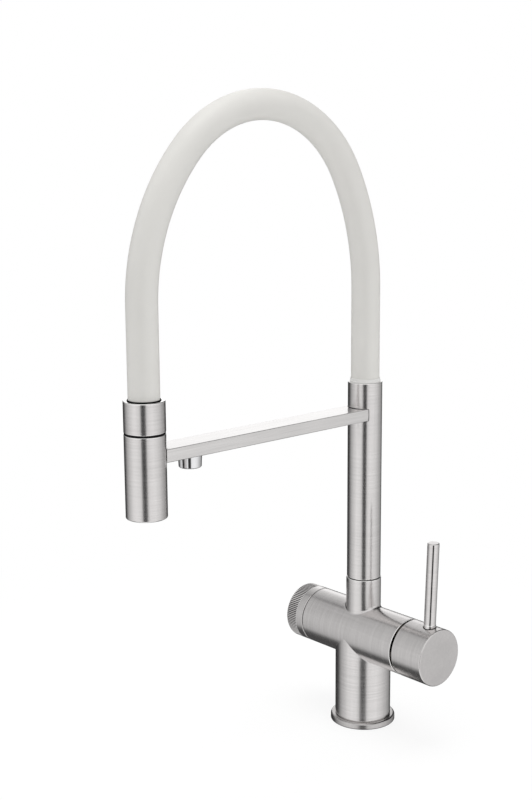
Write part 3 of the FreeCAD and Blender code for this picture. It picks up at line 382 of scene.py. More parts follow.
class Look:
    """A node tree under construction, with one method for any node and one for maths."""

    def __init__(self, tree: bpy.types.NodeTree) -> None:
        """Starts from an emptied tree."""
        self.tree = tree
        tree.nodes.clear()

    def node(self, kind: str, settings: dict[str, object] | None = None,
             inputs: dict[str, object] | None = None) -> bpy.types.Node:
        """Makes a node.

        Args:
            kind: the node's type, such as ShaderNodeTexNoise.
            settings: its properties, set first; stops are a ramp's (place, level) pairs.
            inputs: a value or a link for each named socket.

        Returns:
            The node.
        """
        made = self.tree.nodes.new(kind)
        for key, value in (settings or {}).items():
            if key == "stops":
                self.set_stops(made.color_ramp, value)
            else:
                setattr(made, key, value)
        for key, value in (inputs or {}).items():
            self.feed(self.pick(made.inputs, key), value)
        return made

    def feed(self, socket: bpy.types.NodeSocket, value: object) -> None:
        """Gives a socket its link or its number.

        Args:
            socket: the input socket.
            value: a Value or an output socket, which is linked, or else a plain value.
        """
        if isinstance(value, Value):
            value = value.socket
        if isinstance(value, bpy.types.NodeSocket):
            self.tree.links.new(value, socket)
        else:
            socket.default_value = value

    @staticmethod
    def set_stops(ramp: bpy.types.ColorRamp, stops: Stops) -> None:
        """Gives a ramp its stops.

        Args:
            ramp: the ramp, which has its two first stops.
            stops: a place from 0 to 1 and a grey level for each.
        """
        while len(ramp.elements) < len(stops):
            ramp.elements.new(1.0)
        for element, (place, level) in zip(ramp.elements, stops):
            element.position = place
            element.color = (level, level, level, 1)

    @staticmethod
    def pick(sockets: bpy.types.bpy_prop_collection, key: str) -> bpy.types.NodeSocket:
        """The socket with this identifier, or else with this name."""
        named = next((socket for socket in sockets if socket.identifier == key), None)
        return named or sockets[key]

    def maths(self, operation: str, *terms: object) -> Value:
        """Puts terms through one Math node.

        Args:
            operation: the node's operation.
            terms: values or numbers, in the order of its sockets.

        Returns:
            The result.
        """
        made = self.node("ShaderNodeMath", {"operation": operation})
        for socket, term in zip(made.inputs, terms):
            self.feed(socket, term)
        return Value(self, made.outputs[0])

    def mixed(self, factor: object, first: object, second: object) -> bpy.types.NodeSocket:
        """Mixes two colours.

        Args:
            factor: 0 for the first and 1 for the second.
            first: a colour or a socket with one.
            second: the other.

        Returns:
            The mixed colour.
        """
        made = self.node("ShaderNodeMix", {"data_type": "RGBA"},
                         {"Factor_Float": factor, "A_Color": first, "B_Color": second})
        return self.pick(made.outputs, "Result_Color")

    def tinted(self, factor: Value, tint: Triple, shares: Span) -> bpy.types.NodeSocket:
        """A tint from its first share, where the factor is 0, to its second."""
        return self.mixed(factor, *(shade(tint, share) for share in shares))

    def place(self, centre: Triple = (0, 0, 0)) -> tuple[Value, Value, Value]:
        """Splits the piece's own coordinates.

        Args:
            centre: where they are measured from, in metres.

        Returns:
            x, y and z in metres.
        """
        spot = self.node("ShaderNodeTexCoord").outputs["Object"]
        moved = self.node("ShaderNodeVectorMath", {"operation": "SUBTRACT"},
                          {"Vector": spot, "Vector_001": centre})
        parts = self.node("ShaderNodeSeparateXYZ", inputs={"Vector": moved.outputs[0]})
        return tuple(Value(self, socket) for socket in parts.outputs)

    def ramp(self, factor: object, stops: Stops) -> bpy.types.NodeSocket:
        """Grey levels between stops."""
        return self.node("ShaderNodeValToRGB", {"stops": stops}, {"Fac": factor}).outputs["Color"]

    def between(self, value: Value, low: float, high: float) -> Value:
        """Takes a smooth step.

        Args:
            value: what it goes by.
            low: where it is still 0.
            high: where it has reached 1.

        Returns:
            The step, from 0 to 1.
        """
        made = self.node("ShaderNodeMapRange", {"interpolation_type": "SMOOTHSTEP"},
                         {"Value": value, "From Min": low, "From Max": high})
        return Value(self, made.outputs[0])

    def noise(self, grain: Grain, axis: Axis = Axis.Z) -> Value:
        """Noise on the piece's own coordinates.

        Args:
            grain: its scales and finer layers.
            axis: the axis that the scales go by.

        Returns:
            The noise, about 0.5 in the middle.
        """
        spot = self.node("ShaderNodeTexCoord").outputs["Object"]
        cells = self.node("ShaderNodeMapping", inputs={"Vector": spot, "Scale": grain.scale(axis)})
        made = self.node("ShaderNodeTexNoise", {"noise_dimensions": "3D"}, {
            "Vector": cells.outputs["Vector"], "Scale": 1.0, "Detail": grain.detail,
            "Roughness": grain.rough})
        return Value(self, made.outputs[0])

    def bump(self, height: Value, strength: float, distance: float) -> bpy.types.NodeSocket:
        """The normal over a relief, whose full height is a distance in millimetres."""
        return self.node("ShaderNodeBump", inputs={
            "Height": height, "Strength": strength, "Distance": distance * MM}).outputs[0]

    def metal(self, colour: bpy.types.NodeSocket, roughness: Value,
              normal: bpy.types.NodeSocket) -> bpy.types.Node:
        """A metal's shader."""
        return self.node("ShaderNodeBsdfPrincipled", inputs={
            "Base Color": colour, "Metallic": 1.0, "Roughness": roughness, "Normal": normal})

    def white_light(self) -> bpy.types.Node:
        """A shader that glows as white as the picture's paper."""
        return self.node("ShaderNodeEmission", inputs={"Color": (1, 1, 1, 1), "Strength": 1.0})


def painted(name: str, paint: Callable[[Look], bpy.types.Node]) -> bpy.types.Material:
    """Makes a material.

    Args:
        name: the material's name.
        paint: builds the surface's shader in an emptied tree.

    Returns:
        The material.
    """
    made = bpy.data.materials.new(name)
    made.use_nodes = True
    look = Look(made.node_tree)
    look.node("ShaderNodeOutputMaterial", inputs={"Surface": paint(look).outputs[0]})
    return made


def shade(tint: Triple, share: float = 1.0) -> Colour:
    """A share of a tint, at most white, as a socket takes it."""
    return (*(min(1.0, share * part) for part in tint), 1)


def weighed(values: Sequence[Value], weights: Sequence[float]) -> Value:
    """The sum of values, each times its weight."""
    return sum((weight * value for weight, value in zip(weights[1:], values[1:])),
               weights[0] * values[0])


class Finish:
    """A surface finish; each kind paints its own node tree."""

    name: str
    slot: Slot

    @cache
    def material(self) -> bpy.types.Material:
        """The finish's material, made at its first use."""
        return painted(self.name, self.paint)

    def paint(self, look: Look) -> bpy.types.Node:
        """Builds the shader."""
        raise NotImplementedError


FINE_SCRATCHES = Grain(5200.0, 55.0, 3.0, 0.6)
COARSE_SCRATCHES = Grain(950.0, 18.0, 2.0, 0.6)
STREAKS = Grain(14.0, 420.0, 2.0, 0.55)
CLOUDS = Grain(26.0, 26.0)
POLISHING_HAZE = Grain(140.0, 140.0, 3.0, 0.55)
POLISHING_MARKS = Grain(2600.0, 900.0)
LATHE_RINGS = Grain(3600.0, 30.0, 2.0, 0.6)
STAINS = Grain(60.0, 60.0, 3.0)
MOTTLING = Grain(38.0, 38.0, 3.0, 0.55)


@dataclass(frozen=True)
class BrushedSteel(Finish):
    """Brushed stainless steel: fine scratches, faint streaks and clouds, a painted highlight on the
    edges.

    Rims and faces are places along the axis, in millimetres: of edges that hands and cloths have
    polished smooth, on which the colour is a painted highlight, and of flat ends, which are ground
    matt. The weights are those of fine and coarse scratches in the scratches, of scratches, streaks
    and clouds in the colour, and of scratches and clouds in the roughness.
    """

    name: str
    axis: Axis = Axis.Z
    rims: tuple[float, ...] = ()
    tint: Triple = (0.700, 0.681, 0.675)
    rim_highlight: Triple = (0.95, 0.94, 0.93)
    roughness: float = 0.23
    faces: tuple[float, ...] = ()
    brushing: Brushing = Brushing.ROUND
    shares: Span = (0.68, 1.32)
    scratch_weights: Span = (0.40, 0.60)
    colour_weights: Triple = (0.65, 0.20, 0.15)
    rough_weights: Span = (0.12, 0.05)
    smoothest: float = -0.08
    relief: float = 0.14
    relief_depth: float = 0.05
    rim_width: Span = (0.3, 0.6)
    rim_highlight_share: float = 0.85
    rim_polish: float = 0.45
    face_depth: Span = (0.03, 0.15)
    face_roughness: float = 0.22
    slot: Slot = Slot.BRUSHED

    def paint(self, look: Look) -> bpy.types.Node:
        """Paints the brushing, the rims' painted highlight and the matt faces.

        Scratches drive roughness, bump and, with streaks and clouds, the colour. At the rims the
        colour goes to a painted highlight and the roughness falls; on the faces the roughness
        rises.

        Args:
            look: the tree to paint in.

        Returns:
            The shader.
        """
        fine, coarse = (self.brushed(look, grain) for grain in (FINE_SCRATCHES, COARSE_SCRATCHES))
        scratch = weighed((fine, coarse), self.scratch_weights)
        streaks, clouds = look.noise(STREAKS, self.axis), look.noise(CLOUDS)
        level = weighed((scratch, streaks, clouds), self.colour_weights)
        colour = self.with_painted_light(look, look.tinted(level, self.tint, self.shares))
        # At the rims the steel is polished smooth and its colour is a painted highlight.
        rim_worn_and_highlit = self.near(look, self.rims, self.rim_width)
        colour = look.mixed(self.rim_highlight_share * rim_worn_and_highlit, colour, shade(self.rim_highlight))
        rough = self.roughness + self.smoothest + weighed((scratch, clouds), self.rough_weights)
        rough = rough * (1 - self.rim_polish * rim_worn_and_highlit)
        if self.faces:
            rough = rough + self.face_roughness * self.near(look, self.faces, self.face_depth)
        return look.metal(colour, rough, look.bump(scratch, self.relief, self.relief_depth))

    def brushed(self, look: Look, grain: Grain) -> Value:
        """Scratches of a grain, which is laid across the axis or, for brushing along it, turned."""
        laid = grain if self.brushing is Brushing.ROUND else grain.turned_over()
        return look.noise(laid, self.axis)

    def near(self, look: Look, places: tuple[float, ...], width: Span) -> Value:
        """How near a point is to places along the axis: a step on the least |along - place|.

        Args:
            look: the tree.
            places: the places, in millimetres.
            width: the distances over which it falls from 1 to 0, in millimetres.

        Returns:
            1 at the nearest place, 0 away from all.
        """
        along = look.place()[self.axis.value]
        least, *others = [(along - place * MM).math("ABSOLUTE") for place in places]
        for other in others:
            least = least.math("MINIMUM", other)
        return 1 - look.between(least, *(edge * MM for edge in width))

    def with_painted_light(self, look: Look, colour: bpy.types.NodeSocket) -> bpy.types.NodeSocket:
        """The colour as it is: plain brushed steel gets no painted shade or highlight."""
        return colour


@dataclass(frozen=True)
class KnurledSteel(BrushedSteel):
    """Brushed steel with a knurl: painted shade at the bottom of its grooves, a painted highlight
    on its crests.
    """

    axis_z: float = 78.0
    crest_r: float = 23.28
    root_r: float = 23.0
    start: float = -58.8
    end: float = -69.6
    groove_shade_crest_highlight: Span = (0.04, 1.42)

    def with_painted_light(self, look: Look, colour: bpy.types.NodeSocket) -> bpy.types.NodeSocket:
        """Paints shade into the grooves and a highlight onto the crests, by the distance from the
        barrel's axis.

        Args:
            look: the tree.
            colour: the steel's colour, which stays beyond the knurl's start and end.

        Returns:
            The colour with the knurl.
        """
        x, y, z = look.place((0.0, 0.0, self.axis_z * MM))
        rise = look.between((y * y + z * z).math("SQRT"), self.root_r * MM, self.crest_r * MM)
        knurled = x.math("LESS_THAN", self.start * MM) * x.math("GREATER_THAN", self.end * MM)
        # Grooves get painted shade, crests a painted highlight.
        return look.mixed(knurled, colour, look.tinted(rise, self.tint, self.groove_shade_crest_highlight))


@dataclass(frozen=True)
class FootSteel(BrushedSteel):
    """Brushed steel on the worktop, with a painted contact shadow: a dark line where it meets it.
    """

    line: float = 0.8
    contact_shadow: Triple = (0.04, 0.04, 0.04)

    def with_painted_light(self, look: Look, colour: bpy.types.NodeSocket) -> bpy.types.NodeSocket:
        """Painted contact shadow: dark from the worktop to half the line's height, then back to the
        steel's colour.
        """
        above_contact_shadow = look.between(look.place()[Axis.Z.value], 0.5 * self.line * MM, self.line * MM)
        # Painted contact shadow along the foot.
        return look.mixed(above_contact_shadow, shade(self.contact_shadow), colour)


@dataclass(frozen=True)
class Chrome(Finish):
    """Polished plating with faint polishing haze."""

    name: str = "mirror_chrome"
    slot: Slot = Slot.CHROME
    dull: Triple = (0.78, 0.78, 0.79)
    bright: Triple = (0.86, 0.86, 0.87)
    roughness: float = 0.05
    haze_weight: float = 0.06
    relief: float = 0.03
    relief_depth: float = 0.02

    def paint(self, look: Look) -> bpy.types.Node:
        """Paints the haze, which varies roughness and, slightly, colour, and fine polishing marks.

        Args:
            look: the tree to paint in.

        Returns:
            The shader.
        """
        haze, marks = look.noise(POLISHING_HAZE), look.noise(POLISHING_MARKS)
        colour = look.mixed(haze, shade(self.dull), shade(self.bright))
        return look.metal(colour, self.roughness + self.haze_weight * haze,
                          look.bump(marks, self.relief, self.relief_depth))


@dataclass(frozen=True)
class Turned(Finish):
    """Machined metal with the fine rings that a lathe leaves."""

    name: str
    slot: Slot
    tint: Triple
    axis: Axis = Axis.Z
    shares: Span = (0.82, 1.0)
    colour_weights: Span = (0.5, 0.5)
    roughness: float = 0.24
    ring_weight: float = 0.14
    relief: float = 0.15
    relief_depth: float = 0.06

    def paint(self, look: Look) -> bpy.types.Node:
        """Paints the rings, which drive roughness, colour and bump, over faint stains.

        Args:
            look: the tree to paint in.

        Returns:
            The shader.
        """
        rings = look.noise(LATHE_RINGS, self.axis)
        level = weighed((rings, look.noise(STAINS)), self.colour_weights)
        return look.metal(look.tinted(level, self.tint, self.shares),
                          self.roughness + self.ring_weight * rings,
                          look.bump(rings, self.relief, self.relief_depth))


@dataclass(frozen=True)
class Moulded(Finish):
    """Rubber, silicone or plastic: a fine moulded grain over faint mottling."""

    name: str
    slot: Slot
    tint: Triple
    roughness: float = 0.5
    specular: float = 0.5
    grain: float = 2600.0
    relief: float = 0.05
    relief_depth: float = 0.05
    grain_rough: float = 0.6
    shares: Span = (0.955, 1.035)
    colour_weights: Span = (0.75, 0.25)
    smoothest: float = -0.04
    grain_weight: float = 0.08

    def paint(self, look: Look) -> bpy.types.Node:
        """Paints the grain, which drives bump and roughness, and the mottling of the colour.

        Args:
            look: the tree to paint in.

        Returns:
            The shader.
        """
        grain = look.noise(Grain(self.grain, self.grain, rough=self.grain_rough))
        level = weighed((look.noise(MOTTLING), grain), self.colour_weights)
        return look.node("ShaderNodeBsdfPrincipled", inputs={
            "Base Color": look.tinted(level, self.tint, self.shares),
            "Roughness": self.roughness + self.smoothest + self.grain_weight * grain,
            "Specular IOR Level": self.specular,
            "Normal": look.bump(grain, self.relief, self.relief_depth)})


STEEL_BARREL = BrushedSteel("brushed_steel_barrel", Axis.X, (51.9, 54.3), faces=(84.9,))
# Arm: a lighter, lit copy of the brushed steel, which is painted light.
LIT_STEEL_ARM = BrushedSteel("brushed_steel_arm", Axis.Y, (-212.9,), (0.765, 0.745, 0.738),
                         brushing=Brushing.ALONG)
# Flange: a darker, shaded copy of the brushed steel, which is painted shade, with a painted contact
# shadow at its foot.
SHADED_STEEL_FLANGE = FootSteel("brushed_steel_flange", Axis.Z, (9.0,), (0.52, 0.505, 0.50))
STEEL_BASE = BrushedSteel("brushed_steel_base", Axis.Z, (5.8,))
STEEL_NECK = BrushedSteel("brushed_steel_neck", Axis.Z, (125.9,))
STEEL_TUBE = BrushedSteel("brushed_steel_tube", Axis.Z, (126.7, 291.9))
STEEL_COLLAR = BrushedSteel("brushed_steel_collar", Axis.Z, (284.4, 306.8))
STEEL_SPRAY = BrushedSteel("brushed_steel_spray", Axis.Z, (221.5, 282.6))
STEEL_ROD = BrushedSteel("brushed_steel_rod", Axis.Z, (103.6,), roughness=0.11)
STEEL_KNURLED = KnurledSteel("brushed_steel_knurled", Axis.X, (-58.6,), faces=(-70.4, -69.7))
CHROME = Chrome()
BRASS = Turned("turned_brass", Slot.BRASS, (0.72, 0.56, 0.30))
PLAIN = Turned("turned_steel", Slot.PLAIN, (0.56, 0.56, 0.57))
RUBBER = Moulded("moulded_rubber", Slot.SEAL, (0.018, 0.018, 0.019), 0.55)
# Near-black, barely glossy finish of the dark rings and discs that paint the shade in gaps.
GAP_SHADE = Moulded("gap_rubber", Slot.SEAL, (0.006, 0.006, 0.0065), 0.7, 0.12)
SILICONE = Moulded("hose_silicone", Slot.HOSE, (0.680, 0.670, 0.643), 0.40, 0.5, 1500.0, 0.04)
WHITE_RING = Moulded("ring_silicone", Slot.HOSE, (0.74, 0.735, 0.72), 0.40, 0.4, 1500.0, 0.03)
INNER_HOSE = Moulded("lining_rubber", Slot.INNER, (0.30, 0.32, 0.34), 0.4)
PLASTIC = Moulded("moulded_plastic", Slot.PLASTIC, (0.35, 0.35, 0.36), 0.42)
NOZZLE = Moulded("nozzle_rubber", Slot.NOZZLE, (0.11, 0.11, 0.12), 0.5)


# The tap's sub-assemblies


def wear(made: bpy.types.Object, finish: Finish) -> None:
    """Gives a piece a finish in place of any it has."""
    made.data.materials.clear()
    made.data.materials.append(finish.material())


def settle(made: bpy.types.Object, finish: Finish, body: str | None,
           *stands_for: str) -> bpy.types.Object:
    """Gives a piece its finish, its body and the solids that it stands for.

    Args:
        made: the piece.
        finish: its finish.
        body: the body that it moves with, or None for a piece that is attached to none.
        stands_for: names of the solids that it replaces.

    Returns:
        The piece.
    """
    wear(made, finish)
    if body:
        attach(made, body)
    if stands_for:
        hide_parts(*stands_for)
    log.info("%s: %d faces, %s", made.name, len(made.data.polygons), finish.name)
    return made


class SubAssembly:
    """Pieces that are built together and solids that are dressed together."""

    dressed: dict[str, Finish]

    def build(self) -> None:
        """Makes the new pieces."""

    def dress(self) -> None:
        """Gives each solid that stays its finish."""
        for name, finish in self.dressed.items():
            wear(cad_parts[name], finish)
            log.info("%s: dressed in %s", name, finish.name)


@dataclass
class Stand(SubAssembly):
    """Flange, body casting with barrel and neck, and the seals under and in them.

    Radii end in _r, heights above the worktop in _z or named low, top and floor, and places along
    the barrel in _x.
    """

    flange_r: float = 27.1
    flange_top: float = 5.0
    flange_edge: float = 1.8
    flange_bore_r: float = 20.05
    groove_in_r: float = 21.25
    groove_out_r: float = 25.15
    groove_depth: float = 2.05
    foot_r: float = 20.0
    foot_low: float = 1.0
    column_r: float = 23.3
    shadow_r: float = 22.4
    shadow_h: float = 0.6
    barrel_r: float = 23.4
    barrel_z: float = 78.0
    barrel_edge: float = 0.5
    left_x: float = -50.2
    right_x: float = 52.0
    nut_r: float = 19.2
    nut_x: float = 44.0
    chamber_r: float = 17.6
    chamber_x: float = 20.24
    pocket_r: float = 13.1
    pocket_x: float = -44.0
    valve_r: float = 9.3
    valve_x: float = -28.3
    neck_r: float = 14.5
    neck_bore_r: float = 10.06
    neck_floor: float = 104.6
    neck_top: float = 126.0
    neck_wall: float = 14.0
    neck_root_z: float = 94.0
    neck_fillet: float = 2.5
    column_fillet: float = 0.8
    wall_rows: int = 6
    fillet_rows: int = 11
    fillet_sunk: float = 1.5
    screw_r: float = 2.0
    screw_z: float = 115.5
    screw_hole: Span = (11.0, 16.0)
    stud_r: float = 4.0
    stud_hole: Span = (-2.0, 16.0)
    inlet_r: float = 5.0
    inlet_hole: Span = (-2.0, 13.0)
    inlets: tuple[Span, ...] = ((6.0, -10.392), (6.0, 10.392), (-12.0, 0.0))
    dressed: dict[str, Finish] = field(default_factory=lambda: {
        "base_seal": RUBBER, "riser_seal": RUBBER, "neck_screw": PLAIN})

    def build(self) -> None:
        """Flange ring, column, barrel and neck."""
        settle(self.flange(), SHADED_STEEL_FLANGE, "base", "base_flange")
        settle(self.column(), STEEL_BASE, "base", "mixer_body")
        settle(self.barrel(), STEEL_BARREL, "base")
        settle(self.neck(), STEEL_NECK, "base")

    def flange(self) -> bpy.types.Object:
        """Ring with a rounded upper edge and the seal's groove underneath.

        Returns:
            The flange.
        """
        return Shells().lathe([
            (self.flange_bore_r, 0, 0),
            (self.groove_in_r, 0, 0),
            (self.groove_in_r, self.groove_depth, 0),
            (self.groove_out_r, self.groove_depth, 0),
            (self.groove_out_r, 0, 0),
            (self.flange_r, 0, 0.3),
            (self.flange_r, self.flange_top, self.flange_edge),
            (self.flange_bore_r, self.flange_top, 0),
        ], around=Round.TUBE, steps=10).mesh("flange_ring")

    def seam(self, radius: float, fillet: float, side: int,
             t: Array) -> tuple[Array, Array, Array]:
        """The fillet between an upright cylinder and the barrel.

        A ball of the fillet's radius rolls round the seam. Its centre is (cylinder + fillet) from
        the upright axis and (barrel + fillet) from the barrel's. It touches the cylinder toward
        its axis and the barrel toward its own, and between the two the surface is the ball's arc,
        a slerp of those two directions.

        Args:
            radius: the upright cylinder's radius.
            fillet: the ball's radius.
            side: 1 for a cylinder above the barrel, -1 for one below.
            t: angles round the upright axis.

        Returns:
            The fillet's rows from cylinder to barrel, its last row carried on into the barrel, and
            the ball's centres.
        """
        ball = radius + fillet
        reach = self.barrel_r + fillet
        rise = np.sqrt(reach ** 2 - (ball * np.sin(t)) ** 2)
        centre = np.stack([ball * np.cos(t), ball * np.sin(t), self.barrel_z + side * rise], -1)
        to_upright = np.stack([-np.cos(t), -np.sin(t), 0 * t], -1)
        to_barrel = np.stack([0 * t, -centre[:, 1], self.barrel_z - centre[:, 2]], -1) / reach
        sweep = np.arccos(np.clip((to_upright * to_barrel).sum(-1), -1, 1))[:, None]
        part = np.linspace(0, 1, self.fillet_rows)[:, None, None]
        arc = np.sin((1 - part) * sweep) * to_upright + np.sin(part * sweep) * to_barrel
        sunk = centre + (fillet + self.fillet_sunk) * to_barrel
        return centre + fillet * (arc / np.sin(sweep)), sunk, centre

    def column(self) -> bpy.types.Object:
        """Upright cylinder on its narrower foot, with the inlets and the stud's hole underneath.

        A shallow shadow gap sets it off from the flange. From half the barrel's height the wall is
        a grid of straight lines up to the ball's centres, where a small fillet meets the barrel.

        Returns:
            The column, closed inside the barrel.
        """
        t = TURN * np.arange(Round.TUBE) / Round.TUBE
        fillet, sunk, centre = self.seam(self.column_r, self.column_fillet, -1, t)
        wall_low = self.barrel_z / 2
        gap_top = self.flange_top + self.shadow_h
        lower = turned(rounded([
            (0, self.foot_low, 0),
            (self.foot_r, self.foot_low, 0.4),
            (self.foot_r, self.flange_top, 0),
            (self.shadow_r, self.flange_top, 0),
            (self.shadow_r, gap_top, 0),
            (self.column_r, gap_top, 0.2),
            (self.column_r, wall_low, 0),
            (0, self.barrel_z, 0),
        ])[:-1], Axis.Z, (0, 0, 0), len(t))
        share = np.linspace(0, 1, self.wall_rows)[1:-1, None]
        wall = np.stack([self.column_r * np.cos(t) + 0 * share,
                         self.column_r * np.sin(t) + 0 * share,
                         wall_low + (centre[:, 2] - wall_low) * share], -1)
        top = 0 * sunk + (0, 0, self.barrel_z)
        grid = np.concatenate([lower, wall, fillet, sunk[None], top[None]])
        holes = Shells().pin(self.stud_r, *self.stud_hole)
        for x, y in self.inlets:
            holes.pin(self.inlet_r, *self.inlet_hole, centre=(x, y, 0))
        return carve(Shells().add(grid, Ends.POLES).mesh("body_column"), holes)

    def barrel(self) -> bpy.types.Object:
        """Lying cylinder, bored for the filter valve on the left and the cartridge on the right.

        Returns:
            The barrel.
        """
        return Shells().lathe([
            (0, self.valve_x, 0),
            (self.valve_r, self.valve_x, 0),
            (self.valve_r, self.pocket_x, 0),
            (self.pocket_r, self.pocket_x, 0),
            (self.pocket_r, self.left_x, 0.2),
            (self.barrel_r, self.left_x, self.barrel_edge),
            (self.barrel_r, self.right_x, self.barrel_edge),
            (self.nut_r, self.right_x, 0.3),
            (self.nut_r, self.nut_x, 0),
            (self.chamber_r, self.nut_x, 0),
            (self.chamber_r, self.chamber_x, 0),
            (0, self.chamber_x, 0),
        ], Axis.X, (0, 0, self.barrel_z), Round.BARREL).mesh("body_barrel")

    def neck(self) -> bpy.types.Object:
        """Neck with its bore, its screw's hole and the fillet where it stands on the barrel.

        Returns:
            The neck, closed inside the barrel.
        """
        t = TURN * np.arange(Round.TUBE) / Round.TUBE
        fillet, sunk, _ = self.seam(self.neck_r, self.neck_fillet, 1, t)
        upper = turned(rounded([
            (0, self.neck_floor, 0),
            (self.neck_bore_r, self.neck_floor, 0),
            (self.neck_bore_r, self.neck_top, 0.3),
            (self.neck_r, self.neck_top, 0.5),
            (self.neck_r, self.neck_top - self.neck_wall, 0),
            (0, self.barrel_z, 0),
        ])[:-1], Axis.Z, (0, 0, 0), len(t))
        root = 0 * sunk + (0, 0, self.neck_root_z)
        grid = np.concatenate([upper, fillet, sunk[None], root[None]])
        hole = Shells().pin(self.screw_r, *self.screw_hole, Axis.Y, (0, 0, self.screw_z))
        return carve(Shells().add(grid, Ends.POLES).mesh("body_neck"), hole)


@dataclass
class LeverSide(SubAssembly):
    """Lever cap and rod, and the cartridge, nut and stem behind them."""

    axis_z: float = 78.0
    pivot_x: float = 34.0
    back_x: float = 54.2
    face_x: float = 84.9
    inner_x: float = 80.9
    radius: float = 23.4
    wall: float = 3.0
    edge: float = 0.9
    tilt: float = math.radians(10)
    stop_x: float = 52.35
    boss_r: float = 9.0
    boss_x: float = 59.9
    boss_sunk: float = 1.0
    rod_r: float = 4.8
    rod_x: float = 73.5
    rod_lean: float = math.radians(2)
    rod_foot: float = 99.0
    rod_tip: float = 172.257
    rod_edge: float = 0.8
    foot_ring_r: float = 5.05
    foot_ring_z: float = 103.5
    foot_ring_step: float = 0.2
    gap_ring_r: float = 5.5
    gap_ring_rise: float = 0.3
    gap_ring_sunk: float = 0.8
    dressed: dict[str, Finish] = field(default_factory=lambda: {
        "mixer_cartridge": PLASTIC, "cartridge_seals": RUBBER, "cartridge_nut": BRASS,
        "cartridge_turret": PLASTIC, "pivot_pin": PLAIN, "lever_stem": PLAIN,
        "stem_grub_screw": PLAIN})

    def build(self) -> None:
        """Cap, rod and the dark ring of painted shade where the rod goes in."""
        settle(self.cap(), STEEL_BARREL, "lever", "lever_cap")
        settle(self.rod(), STEEL_ROD, "lever", "lever_rod")
        settle(self.gap_shade_ring(), GAP_SHADE, "lever")

    def cap(self) -> bpy.types.Object:
        """Hollow cap with a softened rim, relieved behind, and the boss that takes the stem.

        Returns:
            The cap.
        """
        bore = self.radius - self.wall
        centre = (0, 0, self.axis_z)
        shells = Shells().lathe([
            (0, self.inner_x, 0),
            (bore, self.inner_x, 0.5),
            (bore, self.back_x, 0.2),
            (self.radius, self.back_x, 0.5),
            (self.radius, self.face_x, self.edge),
            (0, self.face_x, 0),
        ], Axis.X, centre, Round.BARREL, 8)
        boss_end = self.face_x - self.boss_sunk
        shells.bent(self.relieved).lathe([
            (0, self.boss_x, 0),
            (self.boss_r, self.boss_x, 0.4),
            (self.boss_r, boss_end, 0),
            (0, boss_end, 0),
        ], Axis.X, centre, Round.ROD)
        return shells.mesh("cap_shell")

    def relieved(self, points: Array) -> Array:
        """Pushes points that lie behind the cap's relief plane onto it.

        When the cap tips by the tilt about the pivot, its back stays right of stop_x, so a point at
        height z has an x of at least pivot + (stop - pivot - (z - axis) sin tilt) / cos tilt.

        Args:
            points: xyz rows.

        Returns:
            The rows, none of them behind the plane.
        """
        drop = (points[:, 2] - self.axis_z) * math.sin(self.tilt)
        least = self.pivot_x + (self.stop_x - self.pivot_x - drop) / math.cos(self.tilt)
        return np.column_stack([np.maximum(points[:, 0], least), points[:, 1:]])

    def rod(self) -> bpy.types.Object:
        """Round rod that leans out from the cap, with a collar at its foot and a rounded tip.

        Returns:
            The rod.
        """
        shells = Shells().lathe([
            (0, self.rod_foot, 0),
            (self.foot_ring_r, self.rod_foot, 0),
            (self.foot_ring_r, self.foot_ring_z, 0.2),
            (self.rod_r, self.foot_ring_z + self.foot_ring_step, 0),
            (self.rod_r, self.rod_tip, self.rod_edge),
            (0, self.rod_tip, 0),
        ], centre=(self.rod_x, 0, 0), around=Round.ROD, steps=8)
        return shells.bent(self.leaned).mesh("rod_bar")

    def leaned(self, points: Array) -> Array:
        """Turns points by the rod's lean about the crossing of rod and barrel axis.

        Args:
            points: xyz rows of the upright rod.

        Returns:
            The rows, their top leaning toward +X.
        """
        x, z = points[:, 0] - self.rod_x, points[:, 2] - self.axis_z
        sin, cos = math.sin(self.rod_lean), math.cos(self.rod_lean)
        return np.column_stack([
            self.rod_x + x * cos + z * sin, points[:, 1], self.axis_z - x * sin + z * cos])

    def gap_shade_ring(self) -> bpy.types.Object:
        """Thin dark ring of painted shade round the rod's foot, laid over the cap's round top.

        Returns:
            The ring.
        """
        crown = self.axis_z + self.radius
        low, top = crown - self.gap_ring_sunk, crown + self.gap_ring_rise
        middle = self.rod_x + self.radius * math.sin(self.rod_lean)
        shells = Shells().lathe([
            (self.rod_r, low, 0),
            (self.gap_ring_r, low, 0),
            (self.gap_ring_r, top, 0.15),
            (self.rod_r, top, 0),
        ], centre=(middle, 0, 0), around=Round.ROD)
        return shells.bent(self.laid_over).mesh("rod_gap_ring")

    def laid_over(self, points: Array) -> Array:
        """Lowers points by the drop of the cap's circle at their distance from the middle."""
        drop = self.radius - np.sqrt(self.radius ** 2 - points[:, 1] ** 2)
        return np.column_stack([points[:, 0], points[:, 1], points[:, 2] - drop])


